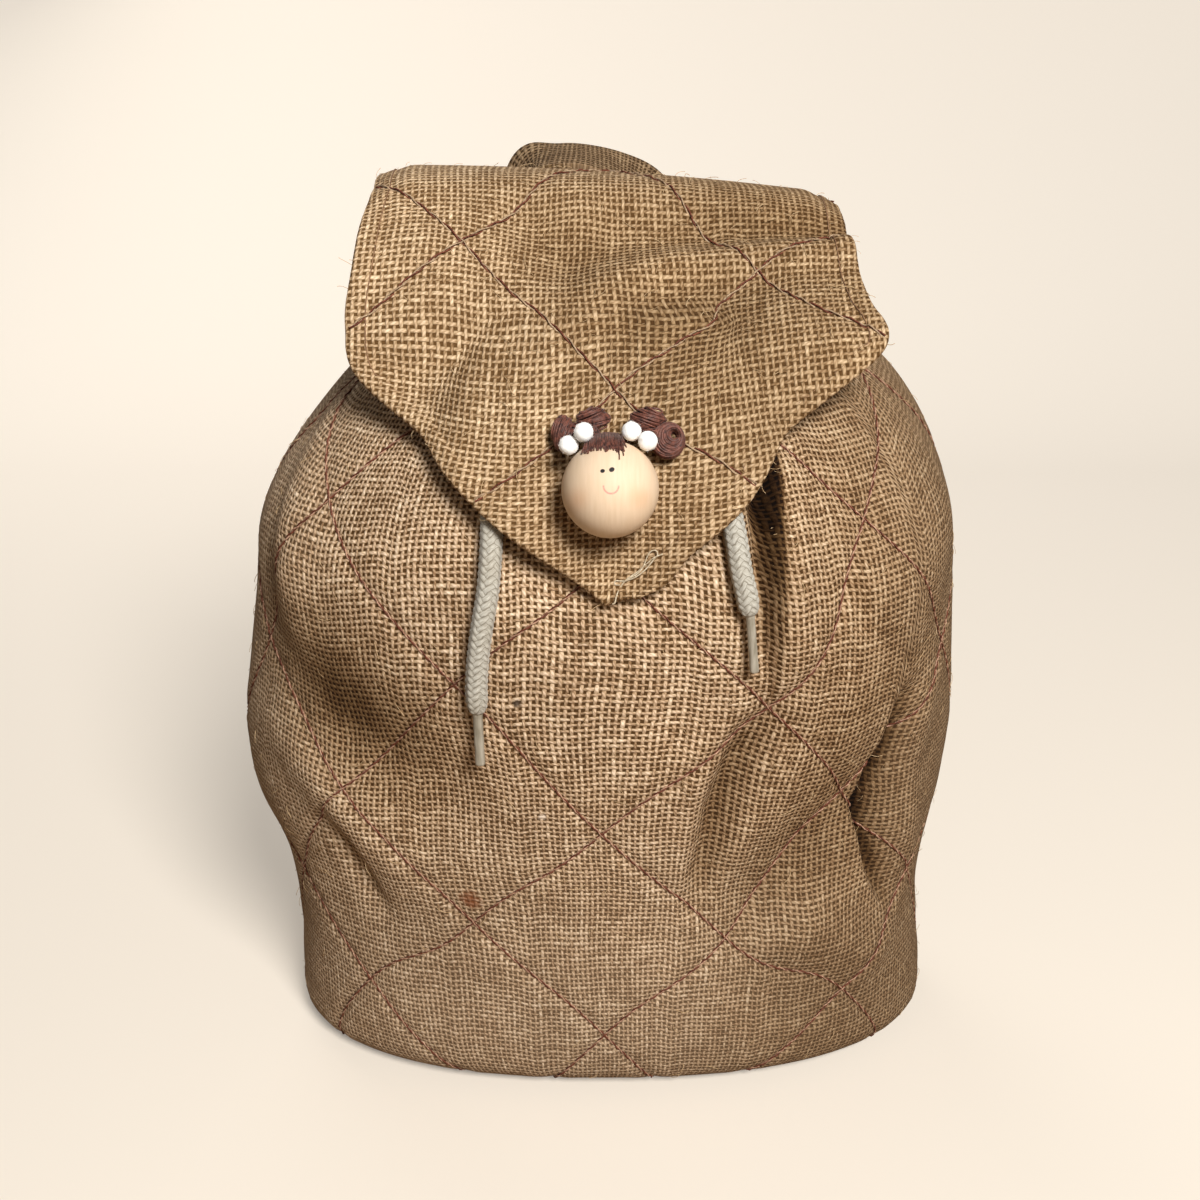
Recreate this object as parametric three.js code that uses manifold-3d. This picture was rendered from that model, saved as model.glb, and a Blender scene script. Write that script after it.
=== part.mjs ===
// Jute backpack: a soft, free-standing bag with a gathered neck, a pointed flap that folds over it,
// a drawstring with two hanging ends, a wooden doll-head button and plain straps on the back.
// Millimetres, +Z up. The front faces -Y. The origin is on the floor, under the middle of the bag.

import * as THREE from 'three';
import { mergeVertices } from 'three/addons/utils/BufferGeometryUtils.js';
import Module from 'manifold-3d';

const wasm = await Module();
wasm.setup();

// ---------------------------------------------------------------- driving dimensions

const GAP = 0.35;
const BODY_WALL = 2.4;
const BODY_COLUMNS = 56;
const BASE_THICKNESS = 3;

const FLAP_THICKNESS = 2.2;
const FLAP_HEM_THICKNESS = 3.6;
const FLAP_HEM_WIDTH = 9;
const FLAP_CLEARANCE = 0.9;
const FLAP_COLUMNS = 20;
const FLAP_ROWS = 34;

const CORD_DIAMETER = 8;
const CORD_SIDES = 10;
const GROOVE_HEIGHT = 360;
const AGLET_LENGTH = 22;

const STRAP_WIDTH = 38;
const STRAP_THICKNESS = 4;
const LOOP_WIDTH = 24;
const LOOP_THICKNESS = 4.5;

const HEAD_RADIUS = 16.9;
const HEAD_FLAT = 16.3;
const BEAD_RADIUS = 3.4;

const NECK_PLEATS = 13;

// Cross-sections of the bag, from the floor to the top of the ruffle above the drawstring.
// left, right, front and back are distances from the axis; square is the corner exponent.
const BODY_SECTIONS = [
  { z: 0, left: 134, right: 145, front: 76, back: 62, square: 2.35 },
  { z: 3, left: 142, right: 152, front: 83, back: 67, square: 2.35 },
  { z: 9, left: 146, right: 157, front: 90, back: 71, square: 2.35 },
  { z: 22, left: 146, right: 157, front: 95, back: 74, square: 2.35 },
  { z: 50, left: 145, right: 154, front: 99, back: 76, square: 2.3 },
  { z: 75, left: 146, right: 152, front: 102, back: 78, square: 2.3 },
  { z: 100, left: 150, right: 154, front: 105, back: 79, square: 2.3 },
  { z: 128, left: 160, right: 158, front: 110, back: 80, square: 2.3 },
  { z: 155, left: 162, right: 160, front: 115, back: 81, square: 2.3 },
  { z: 190, left: 157, right: 158, front: 122, back: 82, square: 2.3 },
  { z: 225, left: 151, right: 155, front: 127, back: 83, square: 2.25 },
  { z: 252, left: 147, right: 151, front: 126, back: 83, square: 2.25 },
  { z: 275, left: 136, right: 145, front: 119, back: 82, square: 2.3 },
  { z: 300, left: 117, right: 133, front: 103, back: 80, square: 2.4 },
  { z: 320, left: 98, right: 115, front: 82, back: 77, square: 2.4 },
  { z: 336, left: 79, right: 89, front: 57, back: 71, square: 2.2 },
  { z: 346, left: 59, right: 66, front: 35, back: 63, square: 2.05 },
  { z: 353, left: 48, right: 55, front: 24, back: 56.5, square: 2 },
  { z: 360, left: 46, right: 53, front: 21, back: 55, square: 2 },
  { z: 366, left: 48, right: 55, front: 22, back: 57, square: 2 },
  { z: 372, left: 54, right: 61, front: 26, back: 61, square: 2 },
];

// Standing folds and creases of the bag: how far each one pushes the cloth out (or in, if
// negative), its half width, and the [angle from the front, height, share] points that it runs
// through, from the top down. share is how much of the fold there is at the point, and left is
// the half width on the fold's left where that side is steeper.
const BODY_FOLDS = [
  { name: 'trough beside the flap', out: -7, width: 6,
    path: [[31, 306, 0.8], [27.5, 290, 1], [26.4, 262, 0.9], [26.2, 232, 0.6], [27, 205, 0]] },
  { name: 'lip over the trough', out: 8, left: 2, width: 17,
    path: [
      [34, 306, 0.3], [31, 290, 0.7], [29.2, 275, 1], [28.4, 250, 1], [28.7, 228, 0.8], [30.2, 204, 0.1],
    ] },
  { name: 'trough running down', out: -11, width: 9,
    path: [[29, 200, 0.2], [26.5, 180, 0.9], [24, 152, 1], [22.5, 122, 0.7], [20.5, 96, 0]] },
  { name: 'right bulge', out: 8, width: 30, path: [[60, 262, 1], [50, 242, 1], [42, 232, 0.6]] },
  { name: 'hollow under the right bulge', out: -11, width: 24,
    path: [[54, 150, 0.7], [44, 128, 1], [36, 108, 0.8]] },
  { name: 'right side crease', out: -12, left: 3, width: 6,
    path: [[56, 198, 0], [55.3, 185, 0.8], [55, 171, 1], [53, 143, 1], [57.5, 110, 0.8], [63, 81, 0]] },
  { name: 'ridge behind the crease', out: 4, width: 9, path: [[62, 190, 0.5], [61, 150, 1], [66, 105, 0.6]] },
  { name: 'right corner bulge', out: 7, width: 17, path: [[44, 84, 1], [58, 62, 0.8]] },
  { name: 'left shoulder ridge', out: 6, width: 13,
    path: [[-62, 300, 0.6], [-57.5, 265, 1], [-56, 225, 0.5]] },
  { name: 'left flank hollow', out: -4, width: 10, path: [[-71, 290, 0.6], [-67, 255, 1], [-66, 222, 0.4]] },
  { name: 'hollow under the left bulge', out: -8, width: 26,
    path: [[-60, 196, 0.6], [-47, 182, 1], [-32, 166, 0.5]] },
  { name: 'left corner ridge', out: 5.5, width: 13,
    path: [[-62, 172, 0.4], [-53.5, 158, 1], [-47, 142, 1], [-41, 118, 0.6], [-37, 88, 0]] },
  { name: 'left crease', out: -4, width: 6,
    path: [[-54, 142, 0], [-51, 125, 1], [-49, 105, 1], [-46, 82, 0]] },
];
const FOLD_RADIUS = 135;

// How deep the gathers are at each height: they start on the shoulder and are drawn in at the neck.
const GATHERS = [
  { z: 275, depth: 0 },
  { z: 310, depth: 1.2 },
  { z: 338, depth: 3.2 },
  { z: 353, depth: 1.2 },
  { z: 360, depth: 0.8 },
  { z: 366, depth: 1.8 },
  { z: 372, depth: 3.6 },
];

// Under side of the flap, row by row from the back seam to the point. s is the distance along the
// cloth; y and z are given on the left edge, in the middle and on the right edge.
const FLAP_ROWS_TABLE = [
  { s: 0, xl: -96, xr: 99, yl: 40, zl: 302, ym: 70, zm: 302, yr: 40, zr: 302 },
  { s: 30, xl: -96, xr: 100, yl: 44, zl: 331, ym: 72, zm: 331, yr: 46, zr: 329 },
  { s: 52, xl: -96, xr: 100, yl: 46, zl: 352, ym: 71, zm: 351, yr: 50, zr: 348 },
  { s: 70, xl: -95, xr: 100, yl: 44, zl: 371, ym: 66, zm: 368, yr: 48, zr: 363 },
  { s: 90, xl: -94, xr: 99, yl: 32, zl: 384, ym: 51, zm: 381, yr: 38, zr: 374 },
  { s: 114, xl: -92, xr: 99, yl: 8, zl: 390, ym: 28, zm: 386, yr: 20, zr: 378 },
  { s: 138, xl: -90, xr: 99, yl: -16, zl: 391, ym: 4, zm: 388, yr: 4, zr: 379 },
  { s: 160, xl: -89, xr: 99, yl: -38, zl: 386, ym: -17, zm: 385, yr: -8, zr: 376 },
  { s: 178, xl: -91, xr: 100, yl: -52, zl: 375, ym: -33, zm: 374, yr: -18, zr: 369 },
  { s: 202, xl: -93, xr: 101, yl: -66, zl: 358, ym: -50, zm: 356, yr: -36, zr: 356 },
  { s: 224, xl: -95, xr: 103, yl: -76, zl: 340, ym: -70, zm: 341, yr: -62, zr: 344 },
  { s: 246, xl: -91, xr: 105, yl: -83, zl: 321, ym: -90, zm: 322, yr: -86, zr: 331 },
  { s: 273, xl: -62, xr: 66.5, yl: -102, zl: 300, ym: -108, zm: 300, yr: -103, zr: 303 },
  { s: 297, xl: -38, xr: 47.5, yl: -112, zl: 280, ym: -119, zm: 280, yr: -112, zr: 282 },
  { s: 316, xl: -18.5, xr: 30, yl: -120, zl: 264, ym: -120, zm: 264, yr: -120, zr: 266 },
  { s: 329, xl: -5, xr: 21.5, yl: -126, zl: 253, ym: -126, zm: 253, yr: -126, zr: 254 },
  { s: 334, xl: 1.5, xr: 14, yl: -128, zl: 247.5, ym: -128, zm: 249, yr: -127, zr: 250.5 },
];
const FLAP_LENGTH = 334;
// How far the flap's side edges drop where it passes over the top.
const CORNER_DROOP = 5;

// Bulges and hollows of the flap, with [across, along, share] points.
const FLAP_FOLDS = [
  { name: 'left bulge', out: 6, width: 24, path: [[-66, 203, 1], [-60, 226, 1]] },
  { name: 'left hollow', out: -4, width: 14, path: [[-66, 246, 1], [-46, 232, 1]] },
  { name: 'middle hollow', out: -5, width: 15, path: [[-26, 180, 1], [-12, 196, 1]] },
  { name: 'right hollow', out: -5, width: 13, path: [[8, 184, 1], [40, 184, 1]] },
  { name: 'right ridge', out: 6, width: 10, path: [[2, 210, 0.6], [30, 203, 1], [62, 200, 1], [98, 196, 1]] },
  { name: 'hollow under the ridge', out: -4, width: 18, path: [[26, 226, 1], [60, 220, 1]] },
  { name: 'right crease', out: -4, width: 9, path: [[60, 184, 1], [98, 183, 1]] },
  { name: 'right bulge', out: 6, width: 20, path: [[72, 232, 1], [84, 242, 1]] },
];

// Drawstring ends: [angle, height] of the points that each end passes through on the cloth.
const CORD_LEFT_PATH = [
  [-42, 360], [-34, 359], [-27, 353], [-22, 343], [-20, 330], [-19, 315], [-19, 298],
  [-18.6, 282], [-17.8, 266], [-17.9, 251], [-18.8, 238], [-19.6, 226], [-20.2, 214], [-20.4, 204],
];
const CORD_RIGHT_PATH = [
  [48, 360], [40, 359], [33, 354], [28, 345], [25, 332], [23, 316], [22, 298],
  [22, 282], [22.3, 268], [22.6, 258], [23.3, 249], [23.8, 242],
];

// Shoulder straps on the back: angle, height and slack off the cloth along the strap.
const STRAP_ROWS = [
  { t: 0, angle: 157, z: 290, slack: 0 },
  { t: 0.12, angle: 156, z: 262, slack: 3 },
  { t: 0.28, angle: 154, z: 222, slack: 18 },
  { t: 0.46, angle: 150, z: 178, slack: 27 },
  { t: 0.64, angle: 142, z: 130, slack: 24 },
  { t: 0.82, angle: 131, z: 82, slack: 9 },
  { t: 0.93, angle: 124, z: 52, slack: 0.8 },
  { t: 1, angle: 120, z: 34, slack: 0 },
];

// Hauling loop: centre line, turn of its width (0 flat against the back, 90 edge on) and how much
// its front edge dips.
const LOOP_ROWS = [
  { t: 0, x: -21, y: 85, z: 313, turn: 0, dip: 0 },
  { t: 0.08, x: -21.5, y: 82.6, z: 326, turn: 0, dip: 0 },
  { t: 0.17, x: -24, y: 80.6, z: 341, turn: 0, dip: 0 },
  { t: 0.28, x: -29, y: 79, z: 361, turn: 8, dip: 0 },
  { t: 0.38, x: -34, y: 75, z: 379, turn: 30, dip: 0.1 },
  { t: 0.46, x: -30, y: 70, z: 390.5, turn: 60, dip: 0.25 },
  { t: 0.53, x: -18, y: 67, z: 393, turn: 80, dip: 0.34 },
  { t: 0.6, x: -6, y: 66.5, z: 392.5, turn: 92, dip: 0.36 },
  { t: 0.68, x: 9, y: 69.5, z: 387.5, turn: 108, dip: 0.34 },
  { t: 0.77, x: 23, y: 76, z: 376, turn: 140, dip: 0.15 },
  { t: 0.86, x: 29, y: 80, z: 357, turn: 168, dip: 0 },
  { t: 0.93, x: 28, y: 81.5, z: 336, turn: 180, dip: 0 },
  { t: 1, x: 25, y: 85, z: 313, turn: 180, dip: 0 },
];

// ---------------------------------------------------------------- curves and surfaces

const radians = THREE.MathUtils.degToRad;

// Smooth values between the rows of a table, for every column.
function tableAt(rows, key, at) {
  const last = rows.length - 1;
  const value = THREE.MathUtils.clamp(at, rows[0][key], rows[last][key]);
  let i = 0;
  while (i < last - 1 && rows[i + 1][key] <= value) i += 1;
  const span = rows[i + 1][key] - rows[i][key];
  const t = (value - rows[i][key]) / span;
  const result = {};
  for (const column of Object.keys(rows[0])) {
    if (typeof rows[0][column] !== 'number') continue;
    const slope = (k) => (rows[k + 1][column] - rows[k][column]) / (rows[k + 1][key] - rows[k][key]);
    const before = i > 0 ? (slope(i - 1) + slope(i)) / 2 : slope(i);
    const after = i < last - 1 ? (slope(i) + slope(i + 1)) / 2 : slope(i);
    result[column] = (2 * t ** 3 - 3 * t ** 2 + 1) * rows[i][column]
      + (t ** 3 - 2 * t ** 2 + t) * span * before
      + (3 * t ** 2 - 2 * t ** 3) * rows[i + 1][column]
      + (t ** 3 - t ** 2) * span * after;
  }
  return result;
}

// The nearest point of a path of straight pieces, all in the plane of the cloth: how far it is,
// the path's share there, which is the third column of its points, and whether px, py is left of it.
function nearestOnPath(px, py, path) {
  let nearest = { distance: Infinity, share: 1, left: false };
  for (let i = 0; i < path.length - 1; i += 1) {
    const [ax, ay, shareHere = 1] = path[i];
    const [bx, by, shareNext = 1] = path[i + 1];
    const dx = bx - ax;
    const dy = by - ay;
    const t = THREE.MathUtils.clamp(((px - ax) * dx + (py - ay) * dy) / (dx * dx + dy * dy), 0, 1);
    const distance = Math.hypot(px - ax - t * dx, py - ay - t * dy);
    if (distance < nearest.distance) {
      const share = shareHere + t * (shareNext - shareHere);
      nearest = { distance, share, left: (px - ax) * dy > (py - ay) * dx };
    }
  }
  return nearest;
}

function foldHeight(folds, px, py) {
  let sum = 0;
  for (const fold of folds) {
    const { distance, share, left } = nearestOnPath(px, py, fold.path);
    const width = left && fold.left ? fold.left : fold.width;
    sum += fold.out * share * Math.exp(-((distance / width) ** 2));
  }
  return sum;
}

const BODY_FOLDS_FLAT = BODY_FOLDS.map((fold) => ({
  ...fold,
  path: fold.path.map(([angle, z, share]) => [radians(angle) * FOLD_RADIUS, z, share]),
}));

// Radius of the bag without its folds. angle is in degrees from the front (-Y), positive to the right.
function plainRadius(angle, z) {
  const section = tableAt(BODY_SECTIONS, 'z', z);
  const across = Math.sin(radians(angle));
  const forward = Math.cos(radians(angle));
  const half = across > 0 ? section.right : section.left;
  const depth = forward > 0 ? section.front : section.back;
  const n = section.square;
  return ((Math.abs(across) / half) ** n + (Math.abs(forward) / depth) ** n) ** (-1 / n);
}

// Angle in the range -180 to 180.
function wrapped(angle) {
  return THREE.MathUtils.euclideanModulo(angle + 180, 360) - 180;
}

function bodyRadius(angle, z) {
  const fold = foldHeight(BODY_FOLDS_FLAT, radians(wrapped(angle)) * FOLD_RADIUS, z);
  const gather = tableAt(GATHERS, 'z', z).depth;
  const wave = 0.7 * Math.cos(radians(NECK_PLEATS * angle)) + 0.3 * Math.cos(radians(7 * angle + 40));
  return plainRadius(angle, z) + fold + gather * wave;
}

function polar(angle, r, z) {
  return new THREE.Vector3(r * Math.sin(radians(angle)), -r * Math.cos(radians(angle)), z);
}

function bodyPoint(angle, z, inset = 0) {
  return polar(angle, bodyRadius(angle, z) - inset, z);
}

// A point held off the bag by the given distance, with the radius from either of the two above.
function offBody(radiusAt, angle, z, off) {
  const at = (a, h) => polar(a, radiusAt(a, h), h);
  const across = at(angle + 1.5, z).sub(at(angle - 1.5, z));
  const up = at(angle, z + 1.5).sub(at(angle, z - 1.5));
  return at(angle, z).addScaledVector(across.cross(up).normalize(), off);
}

// Radial distance per millimetre off the cloth, larger where the cloth leans.
function leanFactor(angle, z, most) {
  const lean = (plainRadius(angle, z + 2) - plainRadius(angle, z - 2)) / 4;
  return Math.min(Math.hypot(1, lean), most);
}

function wallInset(angle, z) {
  return BODY_WALL * leanFactor(angle, z, 2.2);
}

function smoothMax(a, b, reach) {
  const h = THREE.MathUtils.clamp(0.5 + (0.5 * (a - b)) / reach, 0, 1);
  return b + (a - b) * h + reach * h * (1 - h);
}

// How far the cords under the flap lift it off the bag at an angle and height.
function cordLift(angle, z) {
  const r = plainRadius(angle, z);
  let lift = 0;
  for (const path of [CORD_LEFT_PATH, CORD_RIGHT_PATH]) {
    const flat = path.map(([a, h]) => [radians(a) * r, h]);
    const near = nearestOnPath(radians(wrapped(angle)) * r, z, flat).distance;
    lift = Math.max(lift, (CORD_DIAMETER + 1.6) * Math.exp(-((Math.max(near - 6, 0) / 24) ** 2)));
  }
  return lift;
}

// Under side of the flap: a runs from -1 (left edge) to 1 (right edge), s along the cloth.
function flapUnder(a, s) {
  const row = tableAt(FLAP_ROWS_TABLE, 's', s);
  const left = (a * (a - 1)) / 2;
  const middle = 1 - a * a;
  const right = (a * (a + 1)) / 2;
  const point = new THREE.Vector3(
    (row.xl + row.xr) / 2 + (a * (row.xr - row.xl)) / 2,
    left * row.yl + middle * row.ym + right * row.yr,
    left * row.zl + middle * row.zm + right * row.zr,
  );
  const bulge = foldHeight(FLAP_FOLDS, point.x, s);
  const steep = THREE.MathUtils.smoothstep(s, 150, 230);
  point.y -= bulge * steep * 0.75;
  point.z += bulge * (1 - 0.35 * steep);
  const ridge = THREE.MathUtils.smoothstep(s, 60, 100) * (1 - THREE.MathUtils.smoothstep(s, 150, 195));
  point.z -= CORNER_DROOP * ridge * THREE.MathUtils.smoothstep(Math.abs(a), 0.84, 1);
  const shoulder = 1 - THREE.MathUtils.smoothstep(point.z, 338, 352);
  if (shoulder > 0) {
    const angle = THREE.MathUtils.radToDeg(Math.atan2(point.x, -point.y));
    const r = Math.hypot(point.x, point.y);
    const cloth = Math.max(bodyRadius(angle, point.z), plainRadius(angle, point.z));
    const off = FLAP_CLEARANCE + cordLift(angle, point.z);
    const need = cloth + off * leanFactor(angle, point.z, 2.6);
    const draped = smoothMax(r, need, 4);
    const scale = 1 + shoulder * (draped / r - 1);
    point.x *= scale;
    point.y *= scale;
  }
  return point;
}

function flapNormal(a, s) {
  const across = flapUnder(Math.min(a + 0.03, 1), s).sub(flapUnder(Math.max(a - 0.03, -1), s));
  const along = flapUnder(a, Math.min(s + 2, FLAP_LENGTH)).sub(flapUnder(a, Math.max(s - 2, 0)));
  return along.cross(across).normalize();
}

// Closed solid between an outer and an inner grid of points. Both are functions of (i, j).
function sheetSolid(columns, rows, closed, outerAt, innerAt) {
  const across = closed ? columns : columns + 1;
  const positions = [];
  for (const at of [outerAt, innerAt]) {
    for (let j = 0; j <= rows; j += 1) {
      for (let i = 0; i < across; i += 1) positions.push(...at(i, j).toArray());
    }
  }
  const inner = across * (rows + 1);
  const id = (i, j) => j * across + (i % across);
  const faces = [];
  const quad = (a, b, c, d) => faces.push(a, b, c, a, c, d);
  for (let j = 0; j < rows; j += 1) {
    for (let i = 0; i < columns; i += 1) {
      quad(id(i, j), id(i + 1, j), id(i + 1, j + 1), id(i, j + 1));
      quad(inner + id(i, j), inner + id(i, j + 1), inner + id(i + 1, j + 1), inner + id(i + 1, j));
    }
  }
  for (let i = 0; i < columns; i += 1) {
    quad(inner + id(i, 0), inner + id(i + 1, 0), id(i + 1, 0), id(i, 0));
    quad(id(i, rows), id(i + 1, rows), inner + id(i + 1, rows), inner + id(i, rows));
  }
  if (!closed) {
    for (let j = 0; j < rows; j += 1) {
      quad(id(0, j), id(0, j + 1), inner + id(0, j + 1), inner + id(0, j));
      quad(inner + id(columns, j), inner + id(columns, j + 1), id(columns, j + 1), id(columns, j));
    }
  }
  const geometry = new THREE.BufferGeometry();
  geometry.setAttribute('position', new THREE.Float32BufferAttribute(positions, 3));
  geometry.setIndex(faces);
  return geometry;
}

function toSolid(geometry) {
  const plain = geometry.clone();
  plain.deleteAttribute('normal');
  plain.deleteAttribute('uv');
  const merged = mergeVertices(plain, 1e-4);
  return new wasm.Manifold(new wasm.Mesh({
    numProp: 3,
    vertProperties: new Float32Array(merged.attributes.position.array),
    triVerts: new Uint32Array(merged.index.array),
  }));
}

function toGeometry(solid) {
  const mesh = solid.getMesh();
  const geometry = new THREE.BufferGeometry();
  geometry.setAttribute('position', new THREE.BufferAttribute(new Float32Array(mesh.vertProperties), 3));
  geometry.setIndex(Array.from(mesh.triVerts));
  return geometry;
}

// ---------------------------------------------------------------- bag

const BODY_ROW_HEIGHTS = [
  0, 3, 9, 22, 44, 66, 88, 108, 128, 148, 168, 188, 206, 224, 242, 258, 275, 290, 305, 320, 334,
  345, 353, 360, 366, 372,
];

// Columns are closer together on the front, where the folds are.
function columnAngle(i) {
  const t = (i / BODY_COLUMNS) * 360;
  return t + 24 * Math.sin(radians(t)) - 180;
}

function bodyGeometry() {
  return sheetSolid(
    BODY_COLUMNS,
    BODY_ROW_HEIGHTS.length - 1,
    true,
    (i, j) => bodyPoint(columnAngle(i), BODY_ROW_HEIGHTS[j]),
    (i, j) => {
      const angle = columnAngle(i);
      return bodyPoint(angle, BODY_ROW_HEIGHTS[j], wallInset(angle, BODY_ROW_HEIGHTS[j]));
    },
  );
}

// The bottom panel fills the lower rim, flush with it on the floor.
function baseGeometry() {
  const shape = new THREE.Shape();
  for (let i = 0; i < BODY_COLUMNS; i += 1) {
    const angle = columnAngle(i);
    const point = bodyPoint(angle, 0, wallInset(angle, 0) + 2 * GAP);
    if (i === 0) shape.moveTo(point.x, point.y);
    else shape.lineTo(point.x, point.y);
  }
  return new THREE.ExtrudeGeometry(shape, { depth: BASE_THICKNESS, bevelEnabled: false });
}

// ---------------------------------------------------------------- flap

// Columns crowd towards both edges, so that the hem has its own strip.
function flapAcross(j, s) {
  const row = tableAt(FLAP_ROWS_TABLE, 's', s);
  const half = (row.xr - row.xl) / 2;
  const hem = Math.min(FLAP_HEM_WIDTH / half, 0.3);
  const marks = [-1, -1 + hem * 0.85, -1 + hem * 1.15];
  const last = FLAP_COLUMNS;
  if (j < 3) return marks[j];
  if (j > last - 3) return -marks[last - j];
  return THREE.MathUtils.mapLinear(j, 2, last - 2, marks[2], -marks[2]);
}

function flapThickness(j, s) {
  const side = j < 2 || j > FLAP_COLUMNS - 2;
  const end = s < FLAP_HEM_WIDTH;
  return side || end ? FLAP_HEM_THICKNESS : FLAP_THICKNESS;
}

function flapAlong(i) {
  const first = [0, 8, 11];
  if (i < 3) return first[i];
  return THREE.MathUtils.mapLinear(i, 2, FLAP_ROWS, first[2], FLAP_LENGTH);
}

function flapGeometry() {
  return sheetSolid(
    FLAP_ROWS,
    FLAP_COLUMNS,
    false,
    (i, j) => {
      const s = flapAlong(i);
      const a = flapAcross(j, s);
      return flapUnder(a, s).addScaledVector(flapNormal(a, s), flapThickness(j, s));
    },
    (i, j) => flapUnder(flapAcross(j, flapAlong(i)), flapAlong(i)),
  );
}

// ---------------------------------------------------------------- drawstring

function roundSection(radius, sides) {
  const shape = new THREE.Shape();
  for (let i = 0; i < sides; i += 1) {
    const turn = (i / sides) * 2 * Math.PI;
    const x = radius * Math.cos(turn);
    const y = radius * Math.sin(turn);
    if (i === 0) shape.moveTo(x, y);
    else shape.lineTo(x, y);
  }
  return shape;
}

function tube(points, diameter, sides, steps) {
  return new THREE.ExtrudeGeometry(roundSection(diameter / 2, sides), {
    steps,
    bevelEnabled: false,
    extrudePath: new THREE.CatmullRomCurve3(points),
  });
}

const CORD_OFF = CORD_DIAMETER / 2 + 0.8;

// The part that is drawn round the neck, from one free end round the back to the other.
function drawstringPoints() {
  const first = CORD_LEFT_PATH[0][0] - 1.4;
  const last = CORD_RIGHT_PATH[0][0] + 1.4 - 360;
  const points = [];
  for (let i = 0; i <= 36; i += 1) {
    const angle = THREE.MathUtils.mapLinear(i, 0, 36, first, last);
    points.push(bodyPoint(angle, GROOVE_HEIGHT, -CORD_OFF - 1.6));
  }
  return points;
}

function freeEndPoints(path) {
  return path.map(([angle, z], i) => {
    const groove = bodyPoint(angle, z, -CORD_OFF - 1.6);
    const onCloth = offBody(plainRadius, angle, z, CORD_OFF);
    return groove.lerp(onCloth, THREE.MathUtils.clamp(i / 3, 0, 1));
  });
}

// An aglet is a plain crimped tube on the cord's end.
function agletMesh(points, name, diameter) {
  const end = points[points.length - 1];
  const before = points[points.length - 2];
  const direction = new THREE.Vector3(0.02, 0, -1);
  const along = end.clone().sub(before).normalize().lerp(direction, 0.5).normalize();
  const geometry = new THREE.CylinderGeometry(diameter / 2, diameter / 2, AGLET_LENGTH, 14);
  const aglet = new THREE.Mesh(geometry, agletMaterial);
  aglet.name = name;
  aglet.position.copy(end).addScaledVector(along, AGLET_LENGTH / 2 + GAP + 0.6);
  aglet.quaternion.setFromUnitVectors(new THREE.Vector3(0, -1, 0), along);
  return aglet;
}

// ---------------------------------------------------------------- straps and loop

function strapGeometry(side) {
  const at = (j, i, off) => {
    const row = tableAt(STRAP_ROWS, 't', i / 16);
    const ahead = tableAt(STRAP_ROWS, 't', Math.min(i / 16 + 0.01, 1));
    const behind = tableAt(STRAP_ROWS, 't', Math.max(i / 16 - 0.01, 0));
    const r = bodyRadius(side * row.angle, row.z);
    const run = new THREE.Vector2(radians(ahead.angle - behind.angle) * r, ahead.z - behind.z).normalize();
    const w = (j / 4 - 0.5) * STRAP_WIDTH;
    const angle = side * (row.angle + THREE.MathUtils.radToDeg((-w * run.y) / r));
    return offBody(bodyRadius, angle, row.z + w * run.x, off + row.slack);
  };
  const outer = (j, i) => at(side > 0 ? 4 - j : j, i, STRAP_THICKNESS + 0.9);
  const inner = (j, i) => at(side > 0 ? 4 - j : j, i, 0.9);
  return sheetSolid(4, 16, false, outer, inner);
}

function loopGeometry() {
  const section = (i) => {
    const row = tableAt(LOOP_ROWS, 't', i / 30);
    const ahead = tableAt(LOOP_ROWS, 't', Math.min(i / 30 + 0.01, 1));
    const behind = tableAt(LOOP_ROWS, 't', Math.max(i / 30 - 0.01, 0));
    const centre = new THREE.Vector3(row.x, row.y, row.z);
    const along = new THREE.Vector3(ahead.x - behind.x, ahead.y - behind.y, ahead.z - behind.z).normalize();
    const across = new THREE.Vector3(Math.cos(radians(row.turn)), -Math.sin(radians(row.turn)), -row.dip);
    across.addScaledVector(along, -across.dot(along)).normalize();
    return { centre, across, face: along.clone().cross(across).normalize() };
  };
  const at = (j, i, off) => {
    const { centre, across, face } = section(i);
    return centre.clone().addScaledVector(across, (j / 2 - 0.5) * LOOP_WIDTH).addScaledVector(face, off);
  };
  return sheetSolid(2, 30, false, (j, i) => at(j, i, -LOOP_THICKNESS / 2), (j, i) => at(j, i, LOOP_THICKNESS / 2));
}

// ---------------------------------------------------------------- doll-head button

// Frame on the flap where the button is sewn: right, up the cloth, and out.
const BUTTON_SEAT = { a: -0.02, s: 292 };

function buttonFrame() {
  const out = flapNormal(BUTTON_SEAT.a, BUTTON_SEAT.s);
  const right = new THREE.Vector3(1, 0, 0).addScaledVector(out, -out.x).normalize();
  const up = out.clone().cross(right).normalize();
  const seat = flapUnder(BUTTON_SEAT.a, BUTTON_SEAT.s).addScaledVector(out, FLAP_THICKNESS + HEAD_FLAT + 0.7);
  return new THREE.Matrix4().makeBasis(right, up, out).setPosition(seat);
}

// A ball with a flat at its back, turned about the button's own axis.
function headGeometry() {
  const profile = [new THREE.Vector2(0, -HEAD_FLAT)];
  const start = -Math.asin(HEAD_FLAT / HEAD_RADIUS);
  for (let i = 0; i <= 12; i += 1) {
    const turn = THREE.MathUtils.mapLinear(i, 0, 12, start, Math.PI / 2);
    const r = i === 12 ? 0 : HEAD_RADIUS * Math.cos(turn);
    profile.push(new THREE.Vector2(r, HEAD_RADIUS * Math.sin(turn)));
  }
  return new THREE.LatheGeometry(profile, 24).rotateX(Math.PI / 2);
}

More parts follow.
